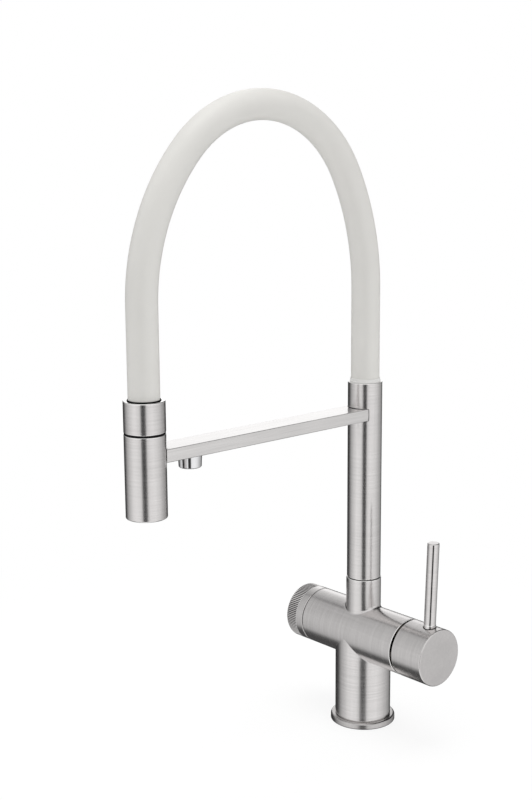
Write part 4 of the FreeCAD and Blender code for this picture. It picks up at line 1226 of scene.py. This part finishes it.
@dataclass
class FilterSide(SubAssembly):
    """Knurled knob of the filtered water, and the hub and valve that it turns."""

    axis_z: float = 78.0
    radius: float = 23.4
    back_x: float = -50.8
    end_x: float = -70.4
    knurl_x: float = -58.6
    ridges: int = 90
    per_ridge: int = 8
    ridge_rows: int = 5
    chamfer_rows: int = 8
    first_row: float = 0.02
    run_out: float = 1.2
    run_in: float = 0.1
    depth: float = 0.55
    chamfer: float = 0.8
    land: float = 0.4
    dish_r: float = 16.5
    dish_depth: float = 0.7
    bore_r: float = 18.2
    hub_x: float = -66.4
    access_x: float = -58.0
    access_r: float = 2.2
    access_hole: Span = (50.0, 69.0)
    shadow_disc_r: float = 22.8
    shadow_disc_bore_r: float = 13.3
    shadow_disc_gap: Span = (0.05, 0.55)
    dressed: dict[str, Finish] = field(default_factory=lambda: {
        "knob_hub": PLASTIC, "valve_spindle": BRASS, "knob_screw": PLAIN, "filter_valve": BRASS,
        "filter_valve_seal": RUBBER})

    def build(self) -> None:
        """Knob, and the dark disc of painted shade in the gap behind it."""
        settle(self.knob(), STEEL_KNURLED, "knob", "filter_knob")
        settle(self.gap_shadow_disc(), GAP_SHADE, "base")

    def gap_shadow_disc(self) -> bpy.types.Object:
        """Flat ring of painted shade that fills the gap between knob and barrel, a little below
        their skin.

        Returns:
            The disc.
        """
        near, far = (self.back_x + offset for offset in self.shadow_disc_gap)
        return Shells().lathe([
            (self.shadow_disc_bore_r, near, 0),
            (self.shadow_disc_r, near, 0.1),
            (self.shadow_disc_r, far, 0.1),
            (self.shadow_disc_bore_r, far, 0),
        ], Axis.X, (0, 0, self.axis_z), Round.SMALL).mesh("knob_washer")

    def knob(self) -> bpy.types.Object:
        """Turned knob whose outer rim carries a straight knurl.

        Head and face are turned profiles; the rim between them is the knurl's own grid. A hole
        underneath lets a key in to the hub's screw.

        Returns:
            The knob.
        """
        crest, root = self.radius, self.radius - self.depth
        head = rounded([
            (0, self.hub_x, 0),
            (self.bore_r, self.hub_x, 0),
            (self.bore_r, self.back_x, 0.3),
            (crest, self.back_x, 0.5),
            (crest, self.knurl_x, 0.15),
            (root, self.knurl_x, 0),
        ])
        floor_x, face_r = self.end_x + self.dish_depth, crest - self.chamfer
        face = rounded([
            (face_r, self.end_x, 0),
            (face_r - self.land, self.end_x, 0),
            (self.dish_r, self.end_x, 0.15),
            (self.dish_r - self.dish_depth, floor_x, 0.15),
            (0, floor_x, 0),
        ])[1:]
        centre = (0, 0, self.axis_z)
        columns = self.ridges * self.per_ridge
        grid = np.concatenate([turned(head, Axis.X, centre, columns), self.knurl(columns),
                               turned(face, Axis.X, centre, columns)])
        access = Shells().pin(self.access_r, *self.access_hole, centre=(self.access_x, 0, 0))
        return carve(Shells().add(grid, Ends.POLES).mesh("knob_knurled"), access)

    def knurl(self, columns: int) -> Array:
        """The knurled rim.

        The radius falls from crest to root and back once a ridge, as a triangle wave of the angle,
        and is held under two cones: one rises from the knurl's start, the other is the chamfer at
        the knob's end. Rows are close together on the cones.

        Args:
            columns: number of columns, a whole number for each ridge.

        Returns:
            Points in a grid (rows from start to end, columns round the axis, xyz).
        """
        x = np.concatenate([
            self.knurl_x - np.linspace(self.first_row, self.depth, self.ridge_rows),
            np.linspace(self.knurl_x - self.run_out, self.end_x + self.chamfer + self.run_in,
                        self.ridge_rows),
            self.end_x + np.linspace(self.chamfer, 0.0, self.chamfer_rows)])[:, None]
        phase = np.arange(columns) % self.per_ridge / self.per_ridge
        wave = self.radius - self.depth * (1 - np.abs(2 * phase - 1))
        rise = self.radius - self.depth + (self.knurl_x - x)
        fall = self.radius - self.chamfer + (x - self.end_x)
        radius = np.minimum(np.minimum(wave[None], rise), fall)
        t = TURN * np.arange(columns) / columns
        return np.stack([x + 0 * t, radius * np.cos(t), self.axis_z + radius * np.sin(t)], -1)


@dataclass
class TurningColumn(SubAssembly):
    """Tube that turns in the neck, with the ring round the hose at its top."""

    radius: float = 14.0
    bore_r: float = 12.6
    low: float = 126.6
    top: float = 292.0
    edge: float = 0.5
    ring_in_r: float = 11.65
    ring_out_r: float = 12.55
    ring_lip_r: float = 12.1
    ring_low: float = 286.05
    ring_step: float = 293.4
    ring_top: float = 295.2
    dressed: dict[str, Finish] = field(default_factory=lambda: {
        "neck_ring": RUBBER, "column_spigot": BRASS, "swivel_seals": RUBBER, "filter_riser": PLAIN,
        "hose_nipple": BRASS, "nipple_sleeve": PLAIN})

    def build(self) -> None:
        """Tube and hose ring."""
        settle(self.tube(), STEEL_TUBE, "spout", "column_tube")
        settle(self.ring(), WHITE_RING, "spout", "hose_ring")

    def tube(self) -> bpy.types.Object:
        """Plain tube with softened rims.

        Returns:
            The tube.
        """
        return Shells().lathe([
            (self.bore_r, self.low, 0),
            (self.radius, self.low, self.edge),
            (self.radius, self.top, self.edge),
            (self.bore_r, self.top, 0.2),
        ], around=Round.TUBE, steps=8).mesh("column_shell")

    def ring(self) -> bpy.types.Object:
        """Stepped ring: its foot sits in the tube and its lip stands up round the hose.

        Returns:
            The ring.
        """
        return Shells().lathe([
            (self.ring_in_r, self.ring_low, 0),
            (self.ring_out_r, self.ring_low, 0),
            (self.ring_out_r, self.ring_step, 0.25),
            (self.ring_lip_r, self.ring_step, 0.1),
            (self.ring_lip_r, self.ring_top, 0.2),
            (self.ring_in_r, self.ring_top, 0.1),
        ], around=Round.RING).mesh("hose_collar_ring")


@dataclass
class Arch(SubAssembly):
    """The two hoses, one inside the other, from the column over to the spray head.

    The line rises straight to bend_z, turns in on the first radius, goes over on the crown's,
    which is worked out, turns down on the last radius, and falls straight to the end.
    """

    reach: float = 223.0
    low: float = 286.0
    bend_z: float = 367.0
    first_r: float = 198.0
    first_turn: float = math.radians(28.5)
    last_r: float = 156.0
    last_turn: float = math.radians(44)
    end: float = 289.15
    step: float = 3.0
    outer_hose: Span = (11.54, 9.6)
    inner_hose: Span = (8.5, 6.3)
    dressed: dict[str, Finish] = field(default_factory=dict)

    def build(self) -> None:
        """Both hoses, made in place in the world frame and attached to no body."""
        for name, radii, finish, solid in (
                ("silicone_hose", self.outer_hose, SILICONE, "spout_hose"),
                ("pressure_hose", self.inner_hose, INNER_HOSE, "water_hose")):
            made = settle(self.hose(*radii).mesh(name), finish, None, solid)
            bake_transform(made)

    def centre_line(self) -> tuple[Array, Array]:
        """The arch's line, as heading angles and places.

        The heading starts at 0, straight up. On an arc of radius r it goes from t0 to t1, and the
        place moves out by r (cos t0 - cos t) and up by r (sin t - sin t0). The crown's radius
        closes the reach.

        Returns:
            Headings, and (out, up) rows.
        """
        turn_in, turn_out = self.first_turn, math.pi - self.last_turn
        sides = self.first_r * (1 - math.cos(turn_in)) + self.last_r * (1 + math.cos(turn_out))
        crown_r = (self.reach - sides) / (math.cos(turn_in) - math.cos(turn_out))
        rise = np.arange(self.low, self.bend_z, self.step)
        headings, places = [0 * rise], [np.column_stack([0 * rise, rise])]
        out, up = 0.0, self.bend_z
        for radius, t0, t1 in ((self.first_r, 0.0, turn_in), (crown_r, turn_in, turn_out),
                               (self.last_r, turn_out, math.pi)):
            t = np.linspace(t0, t1, 1 + int(radius * (t1 - t0) / self.step))
            place = np.column_stack([out + radius * (math.cos(t0) - np.cos(t)),
                                     up + radius * (np.sin(t) - math.sin(t0))])
            headings.append(t[:-1])
            places.append(place[:-1])
            out, up = place[-1]
        fall = np.linspace(up, self.end, int((up - self.end) / self.step))
        headings.append(0 * fall + math.pi)
        places.append(np.column_stack([0 * fall + self.reach, fall]))
        return np.concatenate(headings), np.concatenate(places)

    def hose(self, outer_r: float, inner_r: float) -> Shells:
        """A hose along the line: at each place a circle stands square to the heading.

        Args:
            outer_r: outer radius.
            inner_r: bore's radius.

        Returns:
            One closed surface, out along the outside and back along the bore.
        """
        heading, place = self.centre_line()
        t = TURN * np.arange(Round.ROD) / Round.ROD
        walls = []
        for radius, order in ((outer_r, slice(None)), (inner_r, slice(None, None, -1))):
            turn, spot = heading[order, None], place[order, None]
            side = radius * np.cos(t)
            walls.append(np.stack([
                radius * np.sin(t) + 0 * turn,
                -(spot[..., 0] + side * np.cos(turn)),
                spot[..., 1] - side * np.sin(turn)], -1))
        return Shells().add(np.concatenate(walls), Ends.JOINED)


@dataclass
class DockArm(SubAssembly):
    """Arm that carries the spray head's dock and the filtered water's outlet."""

    half_width: float = 11.5
    low: float = 261.5
    top: float = 271.3
    edge: float = 0.75
    edge_steps: int = 5
    edge_guard: float = 0.15
    longest_side: float = 1.5
    root: float = 1.0
    root_shares: tuple[float, ...] = (0.33, 0.66, 1.0)
    first_row: float = 0.04
    rows: int = 25
    mouth_shares: tuple[float, ...] = (0.05, 0.35, 0.7, 0.96, 1.0)
    gasket_proud: float = 0.5
    gasket_rise: float = 0.3
    gasket_root: float = 0.8
    column_r: float = 14.0
    dock_r: float = 15.5
    reach: float = 223.0
    pocket_r: float = 3.55
    pocket_y: float = -207.0
    mouth_break: float = 0.25
    outlet_y: float = -182.6
    outlet_r: float = 8.9
    outlet_low: float = 251.8
    outlet_chamfer: float = 0.6
    outlet_taper: float = 0.4
    stub_r: float = 6.5
    stub_top: float = 265.5
    way_r: float = 3.0
    mouth_r: float = 5.6
    mouth_top: float = 259.1
    dressed: dict[str, Finish] = field(default_factory=lambda: {
        "dock_magnet": PLAIN, "outlet_screen": PLASTIC})

    def build(self) -> None:
        """Arm, its gasket against the tube, which also paints the seam's shade line, and outlet."""
        settle(self.arm(), LIT_STEEL_ARM, "spout", "dock_arm")
        settle(self.gasket(), RUBBER, "spout")
        settle(self.outlet(), CHROME, "spout", "filter_outlet")

    def arm(self) -> bpy.types.Object:
        """Flat bar between two cylindrical hollows.

        The section is a rectangle with rounded edges, (x, z) at a parameter round it. At the column
        the bar ends at y = root - sqrt(column^2 - x^2), inside the tube's skin, and at the dock at
        y = sqrt(dock^2 - x^2) - reach. Each end is filled by copies of the section that shrink to
        the middle and lie on the same cylinder; at the dock they become the round pocket over the
        magnet.

        Returns:
            The arm.
        """
        section = self.section()
        turn = np.arctan2(section[:, 1], section[:, 0])
        circle = self.pocket_r * np.column_stack([np.cos(turn), np.sin(turn)])
        rows = [self.ring(0 * section, np.full(len(section), self.root - self.column_r))]
        rows += [self.ring(section * k, self.at_column(section[:, 0] * k) + self.root)
                 for k in self.root_shares]
        start = self.at_column(section[:, 0]) + self.root
        stop = self.at_dock(section[:, 0]) + self.mouth_break
        rows += [self.ring(section, start + (stop - start) * k)
                 for k in np.linspace(self.first_row, 1, self.rows)]
        broken = self.inset(section, self.mouth_break)
        rows += [self.ring(broken, self.at_dock(broken[:, 0]))]
        for k in self.mouth_shares:
            plane = broken * (1 - k) + circle * k
            rows += [self.ring(plane, self.at_dock(plane[:, 0]))]
        bottom = np.full(len(circle), self.pocket_y)
        rows += [self.ring(circle, bottom), self.ring(0 * circle, bottom)]
        return Shells().add(np.stack(rows), Ends.POLES).mesh("arm_bar")

    def gasket(self) -> bpy.types.Object:
        """Dark gasket at the arm's root, which also paints the seam's shade line: its section a
        little larger, from the tube's skin outward.

        Returns:
            The gasket.
        """
        band = self.inset(self.section(), -self.gasket_proud)
        skin, middle = self.at_column(band[:, 0]), np.full(len(band), -self.column_r)
        rows = [self.ring(0 * band, middle + self.gasket_root),
                self.ring(band, skin + self.gasket_root),
                self.ring(band, skin - self.gasket_rise),
                self.ring(0 * band, middle - self.gasket_rise)]
        return Shells().add(np.stack(rows), Ends.POLES).mesh("arm_gasket")

    def section(self) -> Array:
        """The bar's section about its middle: (x, z) round a rectangle with rounded edges.

        Returns:
            The rows of the closed line, no two far apart.
        """
        half, rise = self.half_width, (self.top - self.low) / 2
        corners = [(half, -rise), (half, rise), (-half, rise), (-half, -rise)]
        edged = [(*corner, self.edge) for corner in corners]
        return self.filled(rounded(edged, self.edge_steps, self.edge_guard), self.longest_side)

    @staticmethod
    def filled(loop: Array, span: float) -> Array:
        """Adds points on a closed line's long sides.

        Args:
            loop: the line's rows.
            span: the greatest length that a side may have.

        Returns:
            The line's rows, each long side cut into equal parts.
        """
        following = np.roll(loop, -1, 0)
        length = np.linalg.norm(following - loop, axis=1)
        counts = np.maximum(1, np.ceil(length / span)).astype(int)
        start = np.repeat(np.arange(len(loop)), counts)
        share = np.concatenate([np.arange(n) / n for n in counts])[:, None]
        return loop[start] * (1 - share) + following[start] * share

    @staticmethod
    def inset(section: Array, depth: float) -> Array:
        """Draws a section in by a depth along the lines to its middle."""
        return section * (1 - depth / np.linalg.norm(section, axis=1)[:, None])

    def ring(self, plane: Array, y: Array) -> Array:
        """Places (x, z) of a section at the given y, at the bar's height."""
        return np.column_stack([plane[:, 0], y, (self.low + self.top) / 2 + plane[:, 1]])

    def at_column(self, x: Array) -> Array:
        """y of the tube's surface at x."""
        return -np.sqrt(self.column_r ** 2 - x ** 2)

    def at_dock(self, x: Array) -> Array:
        """y of the dock's hollow at x."""
        return np.sqrt(self.dock_r ** 2 - x ** 2) - self.reach

    def outlet(self) -> bpy.types.Object:
        """Small tapered nozzle with a chamfered mouth, its stub held in the arm.

        Returns:
            The nozzle.
        """
        tip_r = self.outlet_r - self.outlet_taper
        chamfer_z = self.outlet_low + self.outlet_chamfer
        return Shells().lathe([
            (self.way_r, self.stub_top, 0),
            (self.stub_r, self.stub_top, 0),
            (self.stub_r, self.low, 0),
            (self.outlet_r, self.low, 0.12),
            (tip_r, chamfer_z, 0.2),
            (tip_r - self.outlet_chamfer, self.outlet_low, 0.15),
            (self.mouth_r, self.outlet_low, 0.15),
            (self.mouth_r, self.mouth_top, 0),
            (self.way_r, self.mouth_top, 0),
        ], centre=(0, self.outlet_y, 0), around=Round.SMALL).mesh("outlet_nozzle")


@dataclass
class SprayHead(SubAssembly):
    """Collar on the hose's end, and the turning spray with its face of nozzles."""

    y: float = -223.0
    radius: float = 15.2
    collar_low: float = 284.3
    collar_top: float = 307.1
    collar_edge: float = 0.7
    mouth_r: float = 12.3
    nut_r: float = 13.5
    nut_top: float = 289.15
    gap_edge: float = 0.45
    gap_ring_r: float = 14.95
    gap_ring_clear: Span = (0.03, 0.1)
    gasket_in_r: float = 11.65
    gasket_out_r: float = 12.25
    gasket_rise: float = 0.75
    shell_low: float = 221.2
    shell_top: float = 282.75
    shell_edge: float = 1.0
    bore_r: float = 13.4
    stem_r: float = 7.3
    ceiling: float = 279.9
    plate_low: float = 223.0
    plate_top: float = 226.0
    plate_r: float = 13.35
    grid_r: float = 6.55
    mat_top: float = 229.2
    circles: tuple[tuple[int, float], ...] = ((22, 11.2), (16, 8.7))
    tip_z: float = 222.3
    tip_r: float = 0.7
    jet_r: float = 0.3
    jet_depth: float = 0.6
    root_r: float = 0.95
    root_rise: float = 0.5
    dressed: dict[str, Finish] = field(default_factory=lambda: {
        "tail_sleeve": PLAIN, "hose_tail": BRASS, "stem_seals": RUBBER, "shell_seal": RUBBER,
        "spray_core": PLASTIC, "stem_clip": PLAIN, "dock_ring": PLAIN, "aerator": PLASTIC})

    def build(self) -> None:
        """Collar with its gasket and gap ring, both dark with painted shade, shell, face plate and
        nozzles.
        """
        settle(self.collar(), STEEL_COLLAR, "head", "head_collar")
        settle(self.gasket(), GAP_SHADE, "head")
        settle(self.gap_shade_ring(), GAP_SHADE, "head")
        settle(self.shell(), STEEL_SPRAY, "spray", "spray_shell")
        settle(self.plate(), CHROME, "spray", "spray_plate")
        settle(self.nozzles(), NOZZLE, "spray", "nozzle_mat")

    def turned_ring(self, name: str, corners: Sequence[Triple], around: int = Round.RING,
                    steps: int = 6) -> bpy.types.Object:
        """A ring of the head, turned about its axis."""
        return Shells().lathe(corners, centre=(0, self.y, 0), around=around, steps=steps).mesh(name)

    def collar(self) -> bpy.types.Object:
        """Sleeve round the hose's end, wider inside where the nut sits.

        Returns:
            The collar.
        """
        return self.turned_ring("collar_sleeve", [
            (self.mouth_r, self.collar_top, 0.3),
            (self.radius, self.collar_top, self.collar_edge),
            (self.radius, self.collar_low, self.gap_edge),
            (self.nut_r, self.collar_low, 0),
            (self.nut_r, self.nut_top, 0),
            (self.mouth_r, self.nut_top, 0),
        ], Round.TUBE, 8)

    def gasket(self) -> bpy.types.Object:
        """Dark ring between the hose and the collar's mouth, whose near-black finish paints the
        shade there.

        Returns:
            The gasket.
        """
        top = self.collar_top + self.gasket_rise
        return self.turned_ring("collar_gasket", [
            (self.gasket_in_r, self.nut_top, 0),
            (self.gasket_out_r, self.nut_top, 0),
            (self.gasket_out_r, top, 0.25),
            (self.gasket_in_r, top, 0.1),
        ])

    def gap_shade_ring(self) -> bpy.types.Object:
        """Dark ring of painted shade in the gap under the collar: clear of the shell, and let into
        the collar.

        Returns:
            The ring.
        """
        clear, over = self.gap_ring_clear
        low, top = self.shell_top + clear, self.collar_low + over
        return self.turned_ring("collar_gap_ring", [
            (self.nut_r, low, 0),
            (self.gap_ring_r, low, 0),
            (self.gap_ring_r, top, 0),
            (self.nut_r, top, 0),
        ])

    def shell(self) -> bpy.types.Object:
        """Spray's outer shell, open below, with the stem's hole in its ceiling.

        Returns:
            The shell.
        """
        return self.turned_ring("spray_sleeve", [
            (self.stem_r, self.shell_top, 0),
            (self.radius, self.shell_top, self.gap_edge),
            (self.radius, self.shell_low, self.shell_edge),
            (self.bore_r, self.shell_low, 0.2),
            (self.bore_r, self.ceiling, 0),
            (self.stem_r, self.ceiling, 0),
        ], Round.TUBE, 8)

    def plate(self) -> bpy.types.Object:
        """Polished ring in the spray's mouth, round the aerator's place.

        Returns:
            The plate.
        """
        return self.turned_ring("face_plate", [
            (self.grid_r, self.plate_low, 0.2),
            (self.plate_r, self.plate_low, 0.3),
            (self.plate_r, self.plate_top, 0),
            (self.grid_r, self.plate_top, 0),
        ])

    def nozzles(self) -> bpy.types.Object:
        """Soft mat with its nozzles: each a cone with a small jet, set on two circles.

        Returns:
            Mat and nozzles as one piece.
        """
        shells = Shells().lathe([
            (self.grid_r, self.plate_top, 0),
            (self.plate_r, self.plate_top, 0),
            (self.plate_r, self.mat_top, 0),
            (self.grid_r, self.mat_top, 0),
        ], centre=(0, self.y, 0), around=Round.ROD)
        jet_z, root_z = self.tip_z + self.jet_depth, self.plate_top + self.root_rise
        one = turned(rounded([
            (0, jet_z, 0),
            (self.jet_r, jet_z, 0),
            (self.jet_r, self.tip_z, 0.05),
            (self.tip_r, self.tip_z, 0.2),
            (self.root_r, root_z, 0),
            (0, root_z, 0),
        ], 2), Axis.Z, (0, self.y, 0), Round.NOZZLE)
        for count, radius in self.circles:
            t = TURN * np.arange(count) / count
            for x, y in radius * np.column_stack([np.cos(t), np.sin(t)]):
                shells.add(one + (x, y, 0), Ends.POLES)
        return shells.mesh("nozzle_cones")


# Studio


@dataclass
class Studio:
    """Floor, light dome, lamps and camera; metres and degrees.

    The dome's rings and the backdrop are stops of (heading from the camera's, level).
    """

    camera_place: Triple = (0.7737, -0.7922, 0.4999)
    azimuth: float = math.radians(48.507)
    elevation: float = math.radians(11.421)
    roll: float = math.radians(-0.398)
    lens: float = 62.1087
    sensor: float = 36.0
    clip: Span = (0.05, 50.0)
    floor_half: float = 6.0
    floor_colour: Triple = (0.97, 0.97, 0.97)
    floor_glow: Span = (0.84, 0.16)
    glow_reach: Span = (0.15, 0.55)
    dome_centre: Triple = (0.0, -0.1, 0.1)
    dome_r: float = 4.0
    dome_rows: int = 33
    ground: Stops = (
        (-180, 0.08), (-88, 0.08), (-66, 1.0), (60, 1.0), (92, 0.10), (180, 0.08))
    below: Stops = (
        (-180, 0.10), (-150, 0.10), (-136, 0.40), (-110, 0.62), (-90, 0.64), (-60, 0.85),
        (60, 0.85), (84, 0.78), (130, 0.40), (150, 0.10), (180, 0.10))
    low: Stops = (
        (-180, 0.04), (-163, 0.04), (-130, 0.06), (-120, 0.25), (-111, 0.42), (-97, 0.62),
        (-85, 0.73), (-74, 0.87), (-64, 0.97), (-50, 1.0), (-36, 0.97), (-27, 0.91), (-19, 0.84),
        (-14, 0.04), (8, 0.04), (13, 0.86), (24, 0.97), (45, 1.0), (62, 0.94), (75, 0.86),
        (84, 0.80), (95, 0.67), (112, 0.53), (130, 0.36), (143, 0.16), (152, 0.04), (180, 0.04))
    high: Stops = (
        (-180, 0.82), (-172, 0.70), (-155, 0.52), (-117, 0.54), (-104, 0.57), (-94, 0.63),
        (-84, 0.70), (-66, 0.90), (-30, 0.92), (30, 0.92), (80, 0.85), (98, 0.72), (110, 0.04),
        (162, 0.04), (172, 0.75), (180, 0.82))
    roof: Stops = (
        (-180, 0.90), (-165, 0.55), (-146, 0.50), (-142, 0.0), (-135, 0.0), (-131, 0.50),
        (-112, 0.55), (-95, 0.90), (60, 1.0), (95, 0.05), (160, 0.05), (180, 0.90))
    joins: tuple[Span, ...] = ((-47, -32), (-37, -29), (12, 24), (46, 47.5))
    backdrop: Stops = (
        (-180, 1.0), (-169, 1.0), (-163, 0.0), (163, 0.0), (169, 1.0), (180, 1.0))
    backdrop_rise: Span = (-3, 5)
    backdrop_fall: Span = (16, 30)
    backdrop_level: float = 1.28
    aim: Triple = (0.0, -0.1, 0.25)
    lamps: tuple[tuple[Triple, float], ...] = (
        ((-1.6, -1.5, 1.6), 5.0), ((1.9, 0.6, 1.7), 6.0), ((0.0, -0.1, 2.4), 22.0))
    lamp_size: float = 1.6
    sky: float = 0.73

    def build(self) -> None:
        """Puts everything in the scene."""
        self.floor()
        self.dome()
        self.world()
        for number, (place, power) in enumerate(self.lamps, 1):
            self.lamp(f"lamp_{number}", place, power)
        self.camera()

    def floor(self) -> None:
        """Pale square floor, which no reflection sees."""
        half = self.floor_half
        data = bpy.data.meshes.new("floor")
        data.from_pydata([(-half, -half, 0), (half, -half, 0), (half, half, 0), (-half, half, 0)],
                         [], [(0, 1, 2, 3)])
        data.materials.append(painted("pale_floor", self.paint_floor))
        floor = placed("floor", data)
        floor.visible_glossy = False

    def paint_floor(self, look: Look) -> bpy.types.Node:
        """Paints the floor, which the camera sees partly as white light, wholly so far out.

        The rest is plain matt white, which keeps the tap's shadow.

        Args:
            look: the tree to paint in.

        Returns:
            The shader.
        """
        x, y, _ = look.place(self.aim)
        far = look.between((x * x + y * y).math("SQRT"), *self.glow_reach)
        matt = look.node("ShaderNodeBsdfDiffuse", inputs={"Color": shade(self.floor_colour)})
        seen = Value(look, look.node("ShaderNodeLightPath").outputs["Is Camera Ray"])
        near_glow, more = self.floor_glow
        return look.node("ShaderNodeMixShader", inputs={
            "Fac": (near_glow + more * far) * seen, "Shader": matt.outputs[0],
            "Shader_001": look.white_light().outputs[0]})

    def dome(self) -> None:
        """Sphere of light and shade that only reflections see."""
        angle = np.linspace(0, math.pi, self.dome_rows)
        rise = self.dome_centre[2] - self.dome_r * np.cos(angle)
        profile = np.column_stack([self.dome_r * np.sin(angle), rise]) / MM
        centre = tuple(part / MM for part in self.dome_centre)
        grid = turned(profile, Axis.Z, centre, Round.DOME)
        dome = Shells().add(grid, Ends.POLES).mesh("light_dome")
        dome.data.materials.append(painted("dome_light", self.paint_dome))
        dome.visible_camera = dome.visible_diffuse = False
        dome.visible_shadow = dome.visible_transmission = False

    def paint_dome(self, look: Look) -> bpy.types.Node:
        """Paints the dome's five rings of light and its backdrop.

        The rings, from the ground to the roof, blend into each other over the elevations of the
        joins. In each the level goes by the heading from the camera's: at the camera's height there
        are bright walls, a dark slot round the camera and dark flags to the far sides. The white
        backdrop stands opposite the camera, from the horizon up.

        Args:
            look: the tree to paint in.

        Returns:
            The shader.
        """
        x, y, z = look.place(self.dome_centre)
        heading = look.maths("ARCTAN2", x, 0 - y) - self.azimuth
        share = (heading / TURN + 0.5).math("FRACT")

        def around(ring: Stops) -> bpy.types.NodeSocket:
            """The ring's level at the heading."""
            return look.ramp(share, tuple(
                ((degrees + 180) / 360, level) for degrees, level in ring))

        def above(span: Span) -> Value:
            """A step up over a span of elevations."""
            low, high = (math.sin(math.radians(degrees)) for degrees in span)
            return look.between(z / self.dome_r, low, high)

        walls = around(self.ground)
        for join, ring in zip(self.joins, (self.below, self.low, self.high, self.roof)):
            walls = look.mixed(above(join), walls, around(ring))
        sheet = Value(look, around(self.backdrop)) * above(self.backdrop_rise)
        sheet = sheet * (1 - above(self.backdrop_fall))
        walls = look.mixed(sheet, walls, (*(self.backdrop_level,) * 3, 1))
        return look.node("ShaderNodeEmission", inputs={"Color": walls})

    def world(self) -> None:
        """White to the camera, to reflections and through glass; a little under white as light."""
        world = bpy.data.worlds.new("studio")
        bpy.context.scene.world = world
        world.use_nodes = True
        look = Look(world.node_tree)
        path = look.node("ShaderNodeLightPath")
        seen = Value(look, path.outputs["Is Camera Ray"])
        for name in ("Is Glossy Ray", "Is Transmission Ray"):
            seen = seen.math("MAXIMUM", Value(look, path.outputs[name]))
        sky = look.node("ShaderNodeBackground", inputs={
            "Color": (1, 1, 1, 1), "Strength": self.sky + (1 - self.sky) * seen})
        look.node("ShaderNodeOutputWorld", inputs={"Surface": sky.outputs[0]})

    def lamp(self, name: str, place: Triple, power: float) -> None:
        """Adds a large soft round lamp that faces the tap.

        Args:
            name: the lamp's name.
            place: where it hangs.
            power: its power in watts.
        """
        data = bpy.data.lights.new(name, "AREA")
        data.shape, data.size, data.energy = "DISK", self.lamp_size, power
        lamp = placed(name, data)
        lamp.location = place
        lamp.rotation_mode = "QUATERNION"
        lamp.rotation_quaternion = (Vector(self.aim) - Vector(place)).to_track_quat("-Z", "Y")
        lamp.visible_glossy = False

    def camera(self) -> None:
        """The photograph's camera, from its place and its three angles.

        It looks against back, the direction of the azimuth and elevation; right lies level, up is
        square to both, and the roll turns the two about back.
        """
        a, e, r = self.azimuth, self.elevation, self.roll
        back = np.array([math.sin(a) * math.cos(e), -math.cos(a) * math.cos(e), math.sin(e)])
        level = np.array([math.cos(a), math.sin(a), 0.0])
        steep = np.cross(back, level)
        right = level * math.cos(r) + steep * math.sin(r)
        up = steep * math.cos(r) - level * math.sin(r)
        data = bpy.data.cameras.new("camera")
        data.sensor_width, data.lens = self.sensor, self.lens
        data.clip_start, data.clip_end = self.clip
        camera = placed("camera", data)
        place = np.eye(4)
        place[:3] = np.column_stack([right, up, back, self.camera_place])
        camera.matrix_world = Matrix(place.tolist())
        bpy.context.scene.camera = camera


def main() -> None:
    """Builds the studio and the tap's sub-assemblies in order."""
    logging.basicConfig(level=logging.INFO, format="%(name)s %(message)s")
    bpy.context.scene.view_settings.view_transform = "Standard"
    Studio().build()
    for group in (Stand(), LeverSide(), FilterSide(), TurningColumn(), Arch(), DockArm(),
                  SprayHead()):
        log.info("%s", type(group).__name__)
        group.build()
        group.dress()


if __name__ == "__main__":
    main()
